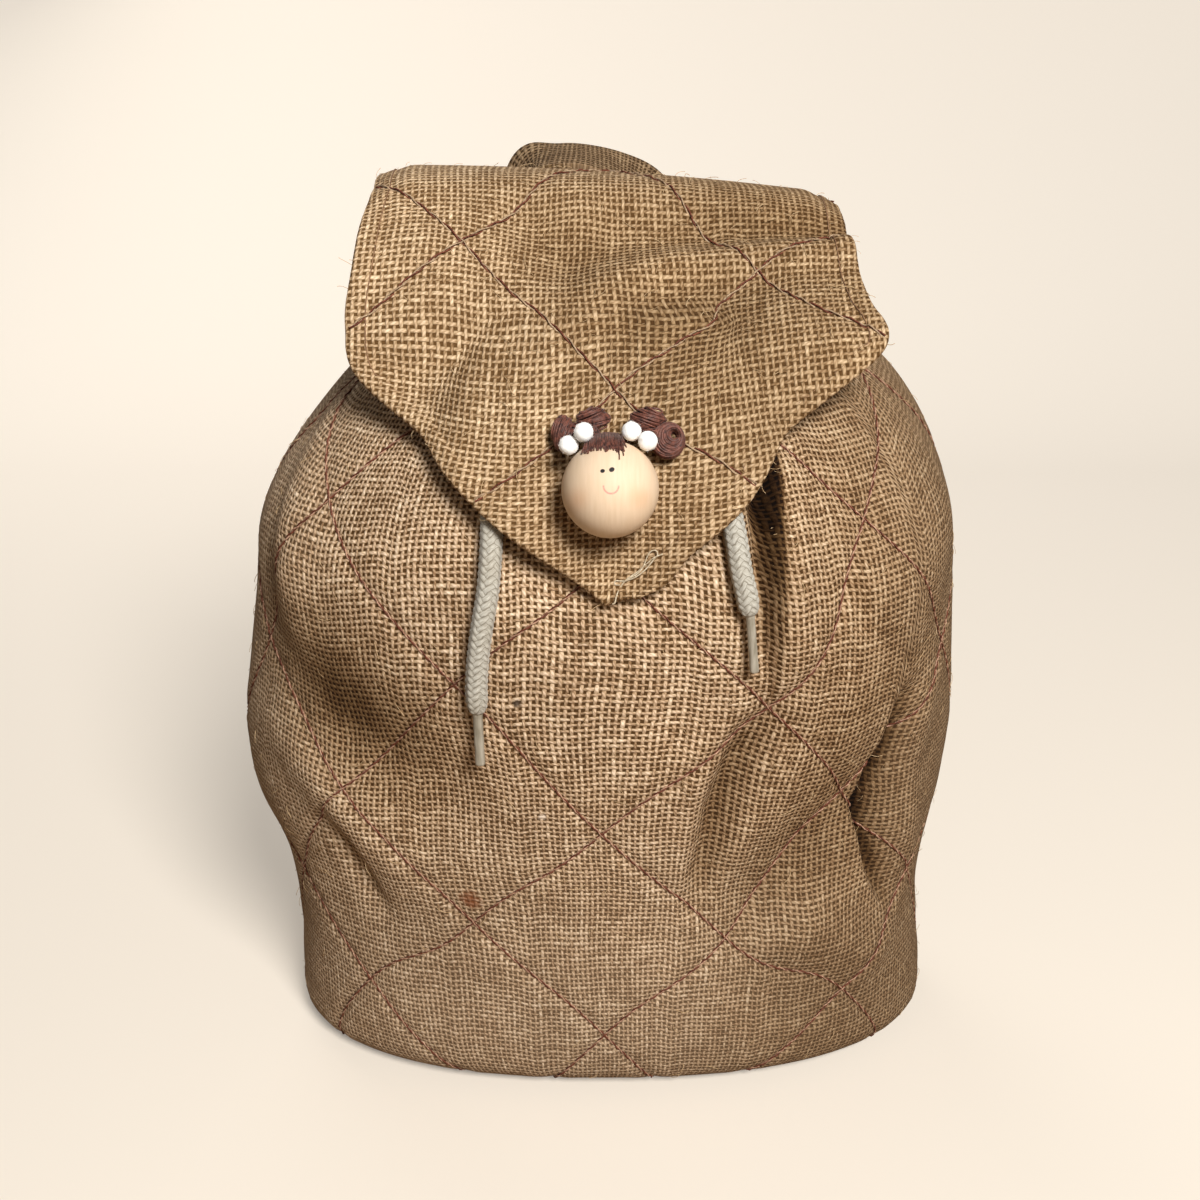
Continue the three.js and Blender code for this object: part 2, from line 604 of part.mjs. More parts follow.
// Locks of hair, in the button's frame: centre, half sizes and turn in the plane of the cloth.
const HAIR = {
  hair_left: [
    { x: -16.5, y: 24, z: -13.1, rx: 3.2, ry: 6.6, rz: 3.6, turn: -8 },
    { x: -6, y: 29, z: -13.3, rx: 5.6, ry: 3.6, rz: 3.8, turn: -15 },
    { x: -11, y: 25, z: -12.9, rx: 5, ry: 3.6, rz: 3.6, turn: 15 },
    { x: -8.5, y: 21.5, z: -8, rx: 7.2, ry: 5, rz: 5.4, turn: 20 },
  ],
  hair_right: [
    { x: 14, y: 27.5, z: -11, rx: 5.4, ry: 3.6, rz: 3.8, turn: -35 },
    { x: 21.5, y: 21.5, z: -10.7, rx: 4.4, ry: 6.2, rz: 4.2, turn: 5 },
    { x: 17.5, y: 24.5, z: -10.8, rx: 4.5, ry: 3.6, rz: 3.6, turn: -30 },
    { x: 8.5, y: 21.5, z: -7.6, rx: 7, ry: 5, rz: 5.2, turn: -30 },
  ],
  hair_fringe: [{ x: -1.5, y: 15.4, z: 2.5, rx: 7.6, ry: 5.2, rz: 7.5, turn: 0 }],
};

function lock({ x, y, z, rx, ry, rz, turn }) {
  const geometry = new THREE.SphereGeometry(1, 14, 9);
  geometry.scale(rx, ry, rz).rotateZ(radians(turn)).translate(x, y, z);
  return toSolid(geometry);
}

const headKeepout = toSolid(new THREE.SphereGeometry(HEAD_RADIUS + 2 * GAP, 24, 16));

function hairGeometry(locks, keepouts) {
  let solid = lock(locks[0]);
  for (const next of locks.slice(1)) solid = solid.add(lock(next));
  for (const keepout of keepouts) solid = solid.subtract(keepout);
  const largest = solid.decompose().sort((a, b) => b.volume() - a.volume())[0];
  return toGeometry(largest);
}

const BEADS = {
  bead_left_inner: { x: -9.2, y: 18.9, z: 5.2 },
  bead_left_outer: { x: -14.4, y: 15.2, z: 1.4 },
  bead_right_inner: { x: 7.4, y: 19.8, z: 2.8 },
  bead_right_outer: { x: 12.8, y: 15.8, z: 6.2 },
};

// ---------------------------------------------------------------- scene graph

function fabric(colour, name) {
  return new THREE.MeshStandardMaterial({ name, color: colour, roughness: 0.95, metalness: 0 });
}

const jute = fabric(0xa5896a, 'jute');
const juteTrim = fabric(0x927859, 'jute_trim');
const cordMaterial = fabric(0xbbb4a4, 'cord');
const hairMaterial = fabric(0x6c4337, 'hair');
const beadMaterial = fabric(0xdad6cf, 'beads');
const agletMaterial = new THREE.MeshStandardMaterial({ name: 'aglet', color: 0x8e8576, roughness: 0.4, metalness: 0 });
const woodMaterial = new THREE.MeshStandardMaterial({ name: 'wood', color: 0xedd0ab, roughness: 0.6, metalness: 0 });

const backpack = new THREE.Group();

function add(parent, name, geometry, material) {
  const mesh = new THREE.Mesh(geometry, material);
  mesh.name = name;
  parent.add(mesh);
  return mesh;
}

add(backpack, 'body', bodyGeometry(), jute);
add(backpack, 'base', baseGeometry(), jute);
add(backpack, 'flap', flapGeometry(), jute);
add(backpack, 'strap_left', strapGeometry(-1), juteTrim);
add(backpack, 'strap_right', strapGeometry(1), juteTrim);
add(backpack, 'haul_loop', loopGeometry(), juteTrim);

const leftEnd = freeEndPoints(CORD_LEFT_PATH);
const rightEnd = freeEndPoints(CORD_RIGHT_PATH);
add(backpack, 'drawstring', tube(drawstringPoints(), CORD_DIAMETER, CORD_SIDES, 36), cordMaterial);
add(backpack, 'cord_left', tube(leftEnd, CORD_DIAMETER, CORD_SIDES, 20), cordMaterial);
add(backpack, 'cord_right', tube(rightEnd, CORD_DIAMETER, CORD_SIDES, 18), cordMaterial);
backpack.add(agletMesh(leftEnd, 'aglet_left', 3.8));
backpack.add(agletMesh(rightEnd, 'aglet_right', 3.4));

const button = new THREE.Group();
button.applyMatrix4(buttonFrame());
backpack.add(button);
add(button, 'head_ball', headGeometry(), woodMaterial);

const beadKeepouts = Object.values(BEADS).map(({ x, y, z }) => (
  toSolid(new THREE.SphereGeometry(BEAD_RADIUS + GAP, 12, 8).translate(x, y, z))
));
const hairSolids = [];
for (const [name, locks] of Object.entries(HAIR)) {
  const geometry = hairGeometry(locks, [headKeepout, ...beadKeepouts, ...hairSolids]);
  add(button, name, geometry, hairMaterial);
}
for (const [name, { x, y, z }] of Object.entries(BEADS)) {
  add(button, name, new THREE.SphereGeometry(BEAD_RADIUS, 12, 8), beadMaterial).position.set(x, y, z);
}

export default backpack;
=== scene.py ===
"""Jute backpack: cloth bag, flap, drawstring, straps and a wooden doll-head button."""

import math

import bpy
import numpy as np
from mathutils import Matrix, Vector


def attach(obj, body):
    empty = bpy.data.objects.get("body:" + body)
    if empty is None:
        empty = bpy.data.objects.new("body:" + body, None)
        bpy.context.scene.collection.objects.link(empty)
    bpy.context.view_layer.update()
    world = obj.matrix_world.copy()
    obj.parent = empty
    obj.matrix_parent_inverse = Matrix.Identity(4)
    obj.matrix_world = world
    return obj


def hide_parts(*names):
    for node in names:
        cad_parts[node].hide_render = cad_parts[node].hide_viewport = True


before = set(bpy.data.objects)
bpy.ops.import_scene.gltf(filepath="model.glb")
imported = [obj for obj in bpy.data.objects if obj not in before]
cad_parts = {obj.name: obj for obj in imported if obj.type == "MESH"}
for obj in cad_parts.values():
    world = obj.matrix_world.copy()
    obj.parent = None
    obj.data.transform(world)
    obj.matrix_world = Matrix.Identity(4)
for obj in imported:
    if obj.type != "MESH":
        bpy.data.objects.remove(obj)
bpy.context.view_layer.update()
MM = 0.001

# ---------------------------------------------------------------- camera

CAMERA_HEIGHT = 0.422
CAMERA_DISTANCE = 0.604
CAMERA_DOWN = 20


def make_camera():
    data = bpy.data.cameras.new("camera")
    data.lens = 42
    data.sensor_width = 36
    data.clip_end = 20
    camera = bpy.data.objects.new("camera", data)
    camera.location = (0, -CAMERA_DISTANCE, CAMERA_HEIGHT)
    camera.rotation_euler = (math.radians(90 - CAMERA_DOWN), 0, 0)
    bpy.context.scene.collection.objects.link(camera)
    bpy.context.scene.camera = camera


make_camera()

# ---------------------------------------------------------------- sizes of the bag, in millimetres

BODY_HEIGHT = 372
BODY_WALL = 2.4
BASE_THICKNESS = 3
BODY_COLUMNS, BODY_ROWS = 340, 130
# angles are turned into distances on a round of this radius, for folds and creases
FOLD_RADIUS = 135
# waves round the gathered neck
NECK_PLEATS, NECK_WAVES = 13, 7

FLAP_THICKNESS = 2.2
FLAP_HEM_THICKNESS = 3.4
FLAP_HEM_WIDTH = 9
FLAP_LENGTH = 334
# place along the flap where it starts to narrow to its point
FLAP_POINT = 246
FLAP_CLEARANCE = 0.9
CORNER_DROOP = 5
# most that a slant may widen a wall or a gap, as a factor
WALL_LEAN, FLAP_LEAN = 2.2, 2.6

# the cord's middle line is this far off the cloth, and a little further in the gathers of the neck
CORD_DIAMETER = 8
CORD_OFF = CORD_DIAMETER / 2 + 0.8
GROOVE_GAP = 1.6
GROOVE_HEIGHT = 360
AGLET_LENGTH = 22

STRAP_WIDTH = 38
STRAP_THICKNESS = 4
STRAP_GAP = 0.9
LOOP_WIDTH = 24
LOOP_THICKNESS = 4.5

# the ball is cut flat at the back, this far from its centre
HEAD_RADIUS = 16.9
HEAD_FLAT = 16.3
BEAD_RADIUS = 3.4

# height, left, right, front and back distance from the axis, corner exponent
BODY_SECTIONS = [
    (0, 134, 145, 76, 62, 2.35),
    (3, 142, 152, 83, 67, 2.35),
    (9, 146, 157, 90, 71, 2.35),
    (22, 146, 157, 95, 74, 2.35),
    (50, 145, 154, 99, 76, 2.3),
    (75, 146, 152, 102, 78, 2.3),
    (100, 150, 154, 105, 79, 2.3),
    (128, 160, 158, 110, 80, 2.3),
    (155, 162, 160, 115, 81, 2.3),
    (190, 157, 158, 122, 82, 2.3),
    (225, 151, 155, 127, 83, 2.25),
    (252, 147, 151, 126, 83, 2.25),
    (275, 136, 145, 119, 82, 2.3),
    (300, 117, 133, 103, 80, 2.4),
    (320, 98, 115, 82, 77, 2.4),
    (336, 79, 89, 57, 71, 2.2),
    (346, 59, 66, 35, 63, 2.05),
    (353, 48, 55, 24, 56.5, 2),
    (360, 46, 53, 21, 55, 2),
    (366, 48, 55, 22, 57, 2),
    (372, 54, 61, 26, 61, 2),
]

# how far each fold stands out, its half width on the left and on the right, and its points from
# the top down: angle from the front, height, share of the fold
BODY_FOLDS = [
    (-5, 6, 6, [(31, 306, 0.8), (27.5, 290, 1), (26.4, 262, 0.9), (26.2, 232, 0.6), (27, 205, 0)]),
    (
        8, 2, 17,
        [
            (34, 306, 0.3), (31, 290, 0.7), (29.2, 275, 1),
            (28.4, 250, 1), (28.7, 228, 0.8), (30.2, 204, 0.1),
        ],
    ),
    (
        -5, 2.4, 1.4,
        [
            (32.6, 306, 1), (29.8, 290, 1), (28, 275, 1),
            (27.3, 250, 0.75), (27.4, 228, 0.3), (28.9, 206, 0),
        ],
    ),
    (-11, 9, 9, [(29, 200, 0.2), (26.5, 180, 0.9), (24, 152, 1), (22.5, 122, 0.7), (20.5, 96, 0)]),
    (8, 30, 30, [(60, 262, 1), (50, 242, 1), (42, 232, 0.6)]),
    (-11, 24, 24, [(54, 150, 0.7), (44, 128, 1), (36, 108, 0.8)]),
    (
        -12, 3, 6,
        [
            (56, 198, 0), (55.4, 185, 0.8), (55.4, 171, 1),
            (54.2, 143, 1), (57.5, 110, 0.8), (63, 81, 0),
        ],
    ),
    (4, 9, 9, [(62, 190, 0.5), (61, 150, 1), (66, 105, 0.6)]),
    (7, 17, 17, [(44, 84, 1), (58, 62, 0.8)]),
    (6, 13, 13, [(-62, 300, 0.6), (-57.5, 265, 1), (-56, 225, 0.5)]),
    (-4, 10, 10, [(-71, 290, 0.6), (-67, 255, 1), (-66, 222, 0.4)]),
    (-8, 26, 26, [(-60, 196, 0.6), (-47, 182, 1), (-32, 166, 0.5)]),
    (5.5, 13, 13, [(-62, 172, 0.4), (-53.5, 158, 1), (-47, 142, 1), (-41, 118, 0.6), (-37, 88, 0)]),
    (-4, 6, 6, [(-54, 142, 0), (-51, 125, 1), (-49, 105, 1), (-46, 82, 0)]),
]

# painted shade in creases and hollows, laid out as the folds above, with how deep the shade looks
# in place of their height
BODY_CREASE_SHADE = [
    (
        40, 3.4, 1.5,
        [
            (33.4, 304, 1), (31.4, 290, 1), (29.4, 275, 1),
            (28.6, 257, 0.85), (28.4, 232, 0.5), (29.2, 204, 0),
        ],
    ),
    (34, 9, 2, [(32, 310, 1), (30.2, 292, 1), (28.4, 279, 0.6), (28, 266, 0)]),
    (
        26, 3.4, 2.6,
        [
            (57, 198, 0), (56.8, 185, 0.7), (57, 171, 1), (56.2, 157, 1), (55.4, 143, 1),
            (56.2, 128, 1), (58.9, 110, 0.9), (61, 95, 0.7), (64, 81, 0),
        ],
    ),
    (11, 7, 7, [(28.5, 196, 0.3), (26.5, 180, 1), (24.3, 152, 1), (23, 122, 0.8), (20.5, 96, 0)]),
    (7, 13, 13, [(60, 222, 0.8), (50, 205, 1), (42, 188, 1), (36, 160, 0.4)]),
    (15, 26, 26, [(-60, 215, 0.6), (-47, 203, 1), (-34, 188, 0.9)]),
    (9, 30, 30, [(-50, 236, 0.6), (-50, 188, 1), (-43, 152, 0.9), (-34, 124, 0.3)]),
    (7, 4, 4, [(-53, 142, 0), (-50, 125, 1), (-48, 105, 1), (-45, 82, 0)]),
]

# height and depth of the gathers
GATHERS = [(275, 0), (310, 1.2), (338, 3.2), (353, 1.2), (360, 0.8), (366, 1.8), (372, 3.6)]

# along, x left and right, then y and z at the left edge, middle and right edge
FLAP_SECTIONS = [
    (0, -96, 99, 40, 302, 70, 302, 40, 302),
    (30, -96, 100, 44, 331, 72, 331, 46, 329),
    (52, -96, 100, 46, 352, 71, 351, 50, 348),
    (70, -95, 100, 44, 371, 66, 368, 48, 363),
    (90, -94, 99, 32, 384, 51, 381, 38, 374),
    (114, -92, 99, 8, 390, 28, 386, 20, 378),
    (138, -90, 99, -16, 391, 4, 388, 4, 379),
    (160, -89, 99, -38, 386, -17, 385, -8, 376),
    (178, -91, 100, -52, 375, -33, 374, -18, 369),
    (202, -93, 101, -66, 358, -50, 356, -36, 356),
    (224, -95, 103, -76, 340, -70, 341, -62, 344),
    (246, -91, 105, -83, 321, -90, 322, -86, 331),
    (273, -62, 66.5, -102, 300, -108, 300, -103, 303),
    (297, -38, 47.5, -112, 280, -119, 280, -112, 282),
    (316, -18.5, 30, -120, 264, -120, 264, -120, 266),
    (329, -5, 21.5, -126, 253, -126, 253, -126, 254),
    (334, 1.5, 14, -128, 247.5, -128, 249, -127, 250.5),
]

# the flap's folds, then the painted shade in its hollows, by x and place along the cloth
FLAP_FOLDS = [
    (6, 24, 24, [(-66, 203, 1), (-60, 226, 1)]),
    (-4, 14, 14, [(-66, 246, 1), (-46, 232, 1)]),
    (-5, 15, 15, [(-26, 180, 1), (-12, 196, 1)]),
    (-5, 13, 13, [(8, 184, 1), (40, 184, 1)]),
    (6, 10, 10, [(2, 210, 0.6), (30, 203, 1), (62, 200, 1), (98, 196, 1)]),
    (-4, 18, 18, [(26, 226, 1), (60, 220, 1)]),
    (-4, 9, 9, [(60, 184, 1), (98, 183, 1)]),
    (6, 20, 20, [(72, 232, 1), (84, 242, 1)]),
]
# painted shade in the flap's hollows: how deep the shade looks in place of a height
FLAP_CREASE_SHADE = [
    (9, 26, 26, [(-6, 200, 1), (34, 222, 0.8)]),
    (6, 32, 32, [(10, 232, 0.7), (44, 240, 1), (84, 228, 1)]),
    (12, 20, 20, [(54, 172, 0.8), (98, 178, 1)]),
]

# angle and height of the points that each drawstring end passes
CORD_LEFT_PATH = [
    (-42, 360), (-34, 359), (-27, 353), (-22, 343), (-20, 330), (-19, 315), (-19, 298),
    (-18.6, 282), (-17.8, 266), (-17.9, 251), (-18.8, 238), (-19.6, 226), (-20.2, 214),
    (-20.4, 204),
]
CORD_RIGHT_PATH = [
    (48, 360), (40, 359), (33, 354), (28, 345), (25, 332), (23, 316), (22, 298),
    (22, 282), (22.3, 268), (22.6, 258), (23.3, 249), (23.8, 242),
]

# along, angle, height and slack off the cloth
STRAP_SECTIONS = [
    (0, 157, 290, 0),
    (0.12, 156, 262, 3),
    (0.28, 154, 222, 18),
    (0.46, 150, 178, 27),
    (0.64, 142, 130, 24),
    (0.82, 131, 82, 9),
    (0.93, 124, 52, 0.8),
    (1, 120, 34, 0),
]

# along, centre line x, y, z, the turn of the width and the dip of its front edge
LOOP_SECTIONS = [
    (0, -21, 85, 313, 0, 0),
    (0.08, -21.5, 82.6, 326, 0, 0),
    (0.17, -24, 80.6, 341, 0, 0),
    (0.28, -29, 79, 361, 8, 0),
    (0.38, -34, 75, 379, 30, 0.1),
    (0.46, -30, 70, 390.5, 60, 0.25),
    (0.53, -18, 67, 393, 80, 0.34),
    (0.6, -6, 66.5, 392.5, 92, 0.36),
    (0.68, 9, 69.5, 387.5, 108, 0.34),
    (0.77, 23, 76, 376, 140, 0.15),
    (0.86, 29, 80, 357, 168, 0),
    (0.93, 28, 81.5, 336, 180, 0),
    (1, 25, 85, 313, 180, 0),
]

# ---------------------------------------------------------------- shape of the cloth


def table_at(table, at):
    """Smooth values between the rows of a table, one array for each column after the first."""
    rows = np.asarray(table, float)
    key, value = rows[:, 0], rows[:, 1:]
    at = np.clip(np.asarray(at, float), key[0], key[-1])
    i = np.clip(np.searchsorted(key, at, side="right") - 1, 0, len(key) - 2)
    secant = np.diff(value, axis=0) / np.diff(key)[:, None]
    slope = np.concatenate([secant[:1], (secant[:-1] + secant[1:]) / 2, secant[-1:]])
    span = (key[i + 1] - key[i])[..., None]
    t = (at - key[i])[..., None] / span
    result = (
        (2 * t**3 - 3 * t**2 + 1) * value[i]
        + (t**3 - 2 * t**2 + t) * span * slope[i]
        + (3 * t**2 - 2 * t**3) * value[i + 1]
        + (t**3 - t**2) * span * slope[i + 1]
    )
    return np.moveaxis(result, -1, 0)


def nearest_on_path(x, y, path):
    """Distance to a path of straight pieces, the share that its third column gives at the nearest
    place, and whether the point is left of it there."""
    nearest = np.full(np.broadcast(x, y).shape, np.inf)
    share, left = np.ones(nearest.shape), np.zeros(nearest.shape, bool)
    for (ax, ay, here), (bx, by, there) in zip(path, path[1:]):
        dx, dy = bx - ax, by - ay
        t = np.clip(((x - ax) * dx + (y - ay) * dy) / (dx * dx + dy * dy), 0, 1)
        distance = np.hypot(x - ax - t * dx, y - ay - t * dy)
        share = np.where(distance < nearest, here + t * (there - here), share)
        left = np.where(distance < nearest, (x - ax) * dy > (y - ay) * dx, left)
        nearest = np.minimum(nearest, distance)
    return nearest, share, left


def fold_height(folds, x, y):
    """How far the cloth stands out at a place, all folds together."""
    height = 0.0
    for out, left_width, right_width, path in folds:
        distance, share, left = nearest_on_path(x, y, path)
        width = np.where(left, left_width, right_width)
        height = height + out * share * np.exp(-((distance / width) ** 2))
    return height


def flat_folds(table):
    """Folds with their angles turned into distances round the bag."""
    flat = []
    for out, left, right, path in table:
        points = [(math.radians(angle) * FOLD_RADIUS, z, share) for angle, z, share in path]
        flat.append((out, left, right, points))
    return flat


BODY_FOLDS_FLAT, BODY_CREASE_SHADE_FLAT = flat_folds(BODY_FOLDS), flat_folds(BODY_CREASE_SHADE)


def smoothstep(value, low, high):
    """0 up to low, 1 from high on, and an even rise between."""
    t = np.clip((value - low) / (high - low), 0, 1)
    return t * t * (3 - 2 * t)


def wrapped(angle):
    """The same angle between -180 and 180 degrees."""
    return (np.asarray(angle, float) + 180) % 360 - 180


def plain_radius(angle, z):
    """Radius of the bag without its folds, at an angle in degrees from the front to the right."""
    angle, z = np.broadcast_arrays(np.asarray(angle, float), np.asarray(z, float))
    left, right, front, back, square = table_at(BODY_SECTIONS, z)
    across, forward = np.sin(np.radians(angle)), np.cos(np.radians(angle))
    half = np.where(across > 0, right, left)
    depth = np.where(forward > 0, front, back)
    across, forward = np.abs(across) / half, np.abs(forward) / depth
    return (across**square + forward**square) ** (-1 / square)


def body_radius(angle, z):
    """Radius of the bag with its folds and the gathers of its neck."""
    angle, z = np.broadcast_arrays(np.asarray(angle, float), np.asarray(z, float))
    fold = fold_height(BODY_FOLDS_FLAT, np.radians(wrapped(angle)) * FOLD_RADIUS, z)
    (gather,) = table_at(GATHERS, z)
    pleats = np.cos(np.radians(NECK_PLEATS * angle))
    waves = np.cos(np.radians(NECK_WAVES * angle + 40))
    return plain_radius(angle, z) + fold + gather * (0.7 * pleats + 0.3 * waves)


def polar(angle, r, z):
    """Points at an angle from the front, a distance from the axis and a height."""
    angle, r, z = np.broadcast_arrays(angle, r, z)
    turn = np.radians(angle)
    return np.stack([r * np.sin(turn), -r * np.cos(turn), z], axis=-1).astype(float)


def unit(vectors):
    """The same directions with length 1."""
    return vectors / np.maximum(np.linalg.norm(vectors, axis=-1, keepdims=True), 1e-9)


def off_body(radius_at, angle, z, off):
    """Points held off the bag by the given distance."""
    angle, z = np.asarray(angle, float), np.asarray(z, float)

    def at(a, h):
        return polar(a, radius_at(a, h), h)

    across = at(angle + 1.5, z) - at(angle - 1.5, z)
    up = at(angle, z + 1.5) - at(angle, z - 1.5)
    return at(angle, z) + unit(np.cross(across, up)) * np.asarray(off, float)[..., None]


def lean_factor(angle, z, most):
    """Radial distance per millimetre off the cloth, larger where the cloth leans."""
    lean = (plain_radius(angle, z + 2) - plain_radius(angle, z - 2)) / 4
    return np.minimum(np.hypot(1, lean), most)


def smooth_max(a, b, reach):
    """The larger of two values, blended where they are within reach of each other."""
    h = np.clip(0.5 + 0.5 * (a - b) / reach, 0, 1)
    return b + (a - b) * h + reach * h * (1 - h)


def cord_lift(angle, z):
    """How far the cords under the flap lift it off the bag."""
    r = plain_radius(angle, z)
    x = np.radians(wrapped(angle)) * r
    lift = np.zeros(r.shape)
    for path in (CORD_LEFT_PATH, CORD_RIGHT_PATH):
        line = [(math.radians(turn) * r, height, 1) for turn, height in path]
        near, _, _ = nearest_on_path(x, z, line)
        lift = np.maximum(lift, np.exp(-((np.maximum(near - 6, 0) / 24) ** 2)))
    return (CORD_DIAMETER + GROOVE_GAP) * lift


def flap_under(a, s):
    """Under side of the flap; a is -1 at the left edge and 1 at the right, s is along the cloth."""
    a, s = np.broadcast_arrays(np.asarray(a, float), np.asarray(s, float))
    xl, xr, yl, zl, ym, zm, yr, zr = table_at(FLAP_SECTIONS, s)
    left, middle, right = a * (a - 1) / 2, 1 - a * a, a * (a + 1) / 2
    x = (xl + xr) / 2 + a * (xr - xl) / 2
    y = left * yl + middle * ym + right * yr
    z = left * zl + middle * zm + right * zr

    # folds push up on the top and forward on the front, and the corners of the top droop
    bulge = fold_height(FLAP_FOLDS, x, s)
    steep = smoothstep(s, 150, 230)
    y = y - bulge * steep * 0.75
    z = z + bulge * (1 - 0.35 * steep)
    ridge = smoothstep(s, 60, 100) * (1 - smoothstep(s, 150, 195))
    z = z - CORNER_DROOP * ridge * smoothstep(np.abs(a), 0.84, 1)

    # below the neck the flap lies on the bag and on the cords
    shoulder = 1 - smoothstep(z, 338, 352)
    angle = np.degrees(np.arctan2(x, -y))
    r = np.hypot(x, y)
    cloth = np.maximum(body_radius(angle, z), plain_radius(angle, z))
    need = cloth + (FLAP_CLEARANCE + cord_lift(angle, z)) * lean_factor(angle, z, FLAP_LEAN)
    scale = 1 + shoulder * (smooth_max(r, need, 4) / r - 1)
    return np.stack([x * scale, y * scale, z], axis=-1)


def flap_normal(a, s):
    """Direction out of the flap."""
    right, left = flap_under(np.minimum(a + 0.03, 1), s), flap_under(np.maximum(a - 0.03, -1), s)
    ahead = flap_under(a, np.minimum(s + 2, FLAP_LENGTH))
    behind = flap_under(a, np.maximum(s - 2, 0))
    return unit(np.cross(ahead - behind, right - left))


# ---------------------------------------------------------------- mesh making


def new_object(name, mesh):
    piece = bpy.data.objects.new(name, mesh)
    bpy.context.scene.collection.objects.link(piece)
    return piece


def mesh_piece(name, points, faces, uvs, material):
    """A smooth piece from points and a UV pair for each face corner, all in millimetres."""
    mesh = bpy.data.meshes.new(name)
    mesh.from_pydata((np.asarray(points, float) * MM).tolist(), [], [list(face) for face in faces])
    if uvs is not None:
        layer = mesh.uv_layers.new(name="cloth")
        layer.data.foreach_set("uv", (np.asarray(uvs, float) * MM).ravel())
    mesh.polygons.foreach_set("use_smooth", [True] * len(mesh.polygons))
    mesh.materials.append(material)
    mesh.update()
    return new_object(name, mesh)


def grid_faces(columns, rows, closed, first=0, flip=False):
    """Vertex and UV corners of a grid of quads, columns by rows."""
    across = columns if closed else columns + 1
    j, i = np.meshgrid(np.arange(rows), np.arange(columns), indexing="ij")
    i, j = i.ravel(), j.ravel()
    corners = [(i, j), (i + 1, j), (i + 1, j + 1), (i, j + 1)]
    if flip:
        corners = corners[::-1]
    faces = np.stack([first + cj * across + ci % across for ci, cj in corners], axis=1)
    return faces, np.stack([np.stack([ci, cj], axis=-1) for ci, cj in corners], axis=1)


def sheet_mesh(name, outer, inner, uv, closed, material, hollow=None):
    """Cloth sheet with all its edges filled, between two grids of points, rows by columns by 3.
    A closed sheet goes round, and its uv then has one column more than its points. hollow is how
    deep each point lies in a fold."""
    rows, across = outer.shape[0] - 1, outer.shape[1]
    columns = across if closed else across - 1
    second = outer.shape[0] * across
    all_faces, corner_uv = [], []

    def add(faces, spots):
        all_faces.append(faces)
        corner_uv.append(uv[spots[..., 1], spots[..., 0]])

    def add_rim(a, b, back, spots):
        ids = [second + a, second + b, b, a] if back else [a, b, second + b, second + a]
        add(np.stack(ids, axis=1), np.stack(spots, axis=-1))

    add(*grid_faces(columns, rows, closed))
    add(*grid_faces(columns, rows, closed, second, True))
    i, j = np.arange(columns), np.arange(rows)
    for row in (0, rows):
        pairs = np.stack([i, i + 1, i + 1, i], axis=1)
        spots = [pairs, np.full(pairs.shape, row)]
        add_rim(row * across + i, row * across + (i + 1) % across, row == 0, spots)
    for column in () if closed else (0, columns):
        pairs = np.stack([j, j + 1, j + 1, j], axis=1)
        spots = [np.full(pairs.shape, column), pairs]
        add_rim(j * across + column, (j + 1) * across + column, column > 0, spots)
    points = np.concatenate([outer.reshape(-1, 3), inner.reshape(-1, 3)])
    corner_uv = np.concatenate(corner_uv).reshape(-1, 2)
    piece = mesh_piece(name, points, np.concatenate(all_faces), corner_uv, material)
    if hollow is not None:
        # fold depths that the cloth's finish paints as shade in the creases
        layer = piece.data.attributes.new("hollow", "FLOAT", "POINT")
        layer.data.foreach_set("value", np.tile(hollow.ravel(), 2).astype(np.float32))
    return piece


def cloth_uv(across, along):
    """UV grid of a sheet from its places across and along the cloth."""
    return np.stack(np.broadcast_arrays(across, along), axis=-1)


def arc_length(points, axis):
    """Distance run along one axis of a grid of points."""
    steps = np.linalg.norm(np.diff(points, axis=axis), axis=-1)
    zero = np.zeros_like(np.take(steps, [0], axis=axis))
    return np.concatenate([zero, np.cumsum(steps, axis=axis)], axis=axis)


def resample(points, step):
    """The same path with points a fixed step apart, on a smooth curve."""
    points = np.asarray(points, float)
    knots = arc_length(points, 0)
    fine = np.linspace(0, knots[-1], max(int(round(knots[-1] / step)), 2) + 1)
    rows = np.concatenate([knots[:, None], points], axis=1)
    return table_at(rows, fine).T


# ---------------------------------------------------------------- finishes


class NodeTree:
    """Nodes added one at a time. Each step returns a socket that the next one can use."""

    def node(self, kind, inputs=(), out=0, **properties):
        made = self.tree.nodes.new(kind)
        for key, value in properties.items():
            setattr(made, key, value)
        for key, value in dict(inputs).items():
            if isinstance(value, bpy.types.NodeSocket):
                self.tree.links.new(value, made.inputs[key])
            else:
                made.inputs[key].default_value = value
        return made.outputs[out]

    def math(self, operation, a, b=0.0, clamp=False):
        return self.node("ShaderNodeMath", {0: a, 1: b}, operation=operation, use_clamp=clamp)

    def add(self, a, b):
        return self.math("ADD", a, b)

    def subtract(self, a, b):
        return self.math("SUBTRACT", a, b)

    def multiply(self, a, b):
        return self.math("MULTIPLY", a, b)

    def join(self, x, y=0.0, z=0.0):
        return self.node("ShaderNodeCombineXYZ", {0: x, 1: y, 2: z})

    def split(self, vector):
        return tuple(self.node("ShaderNodeSeparateXYZ", {0: vector}).node.outputs)


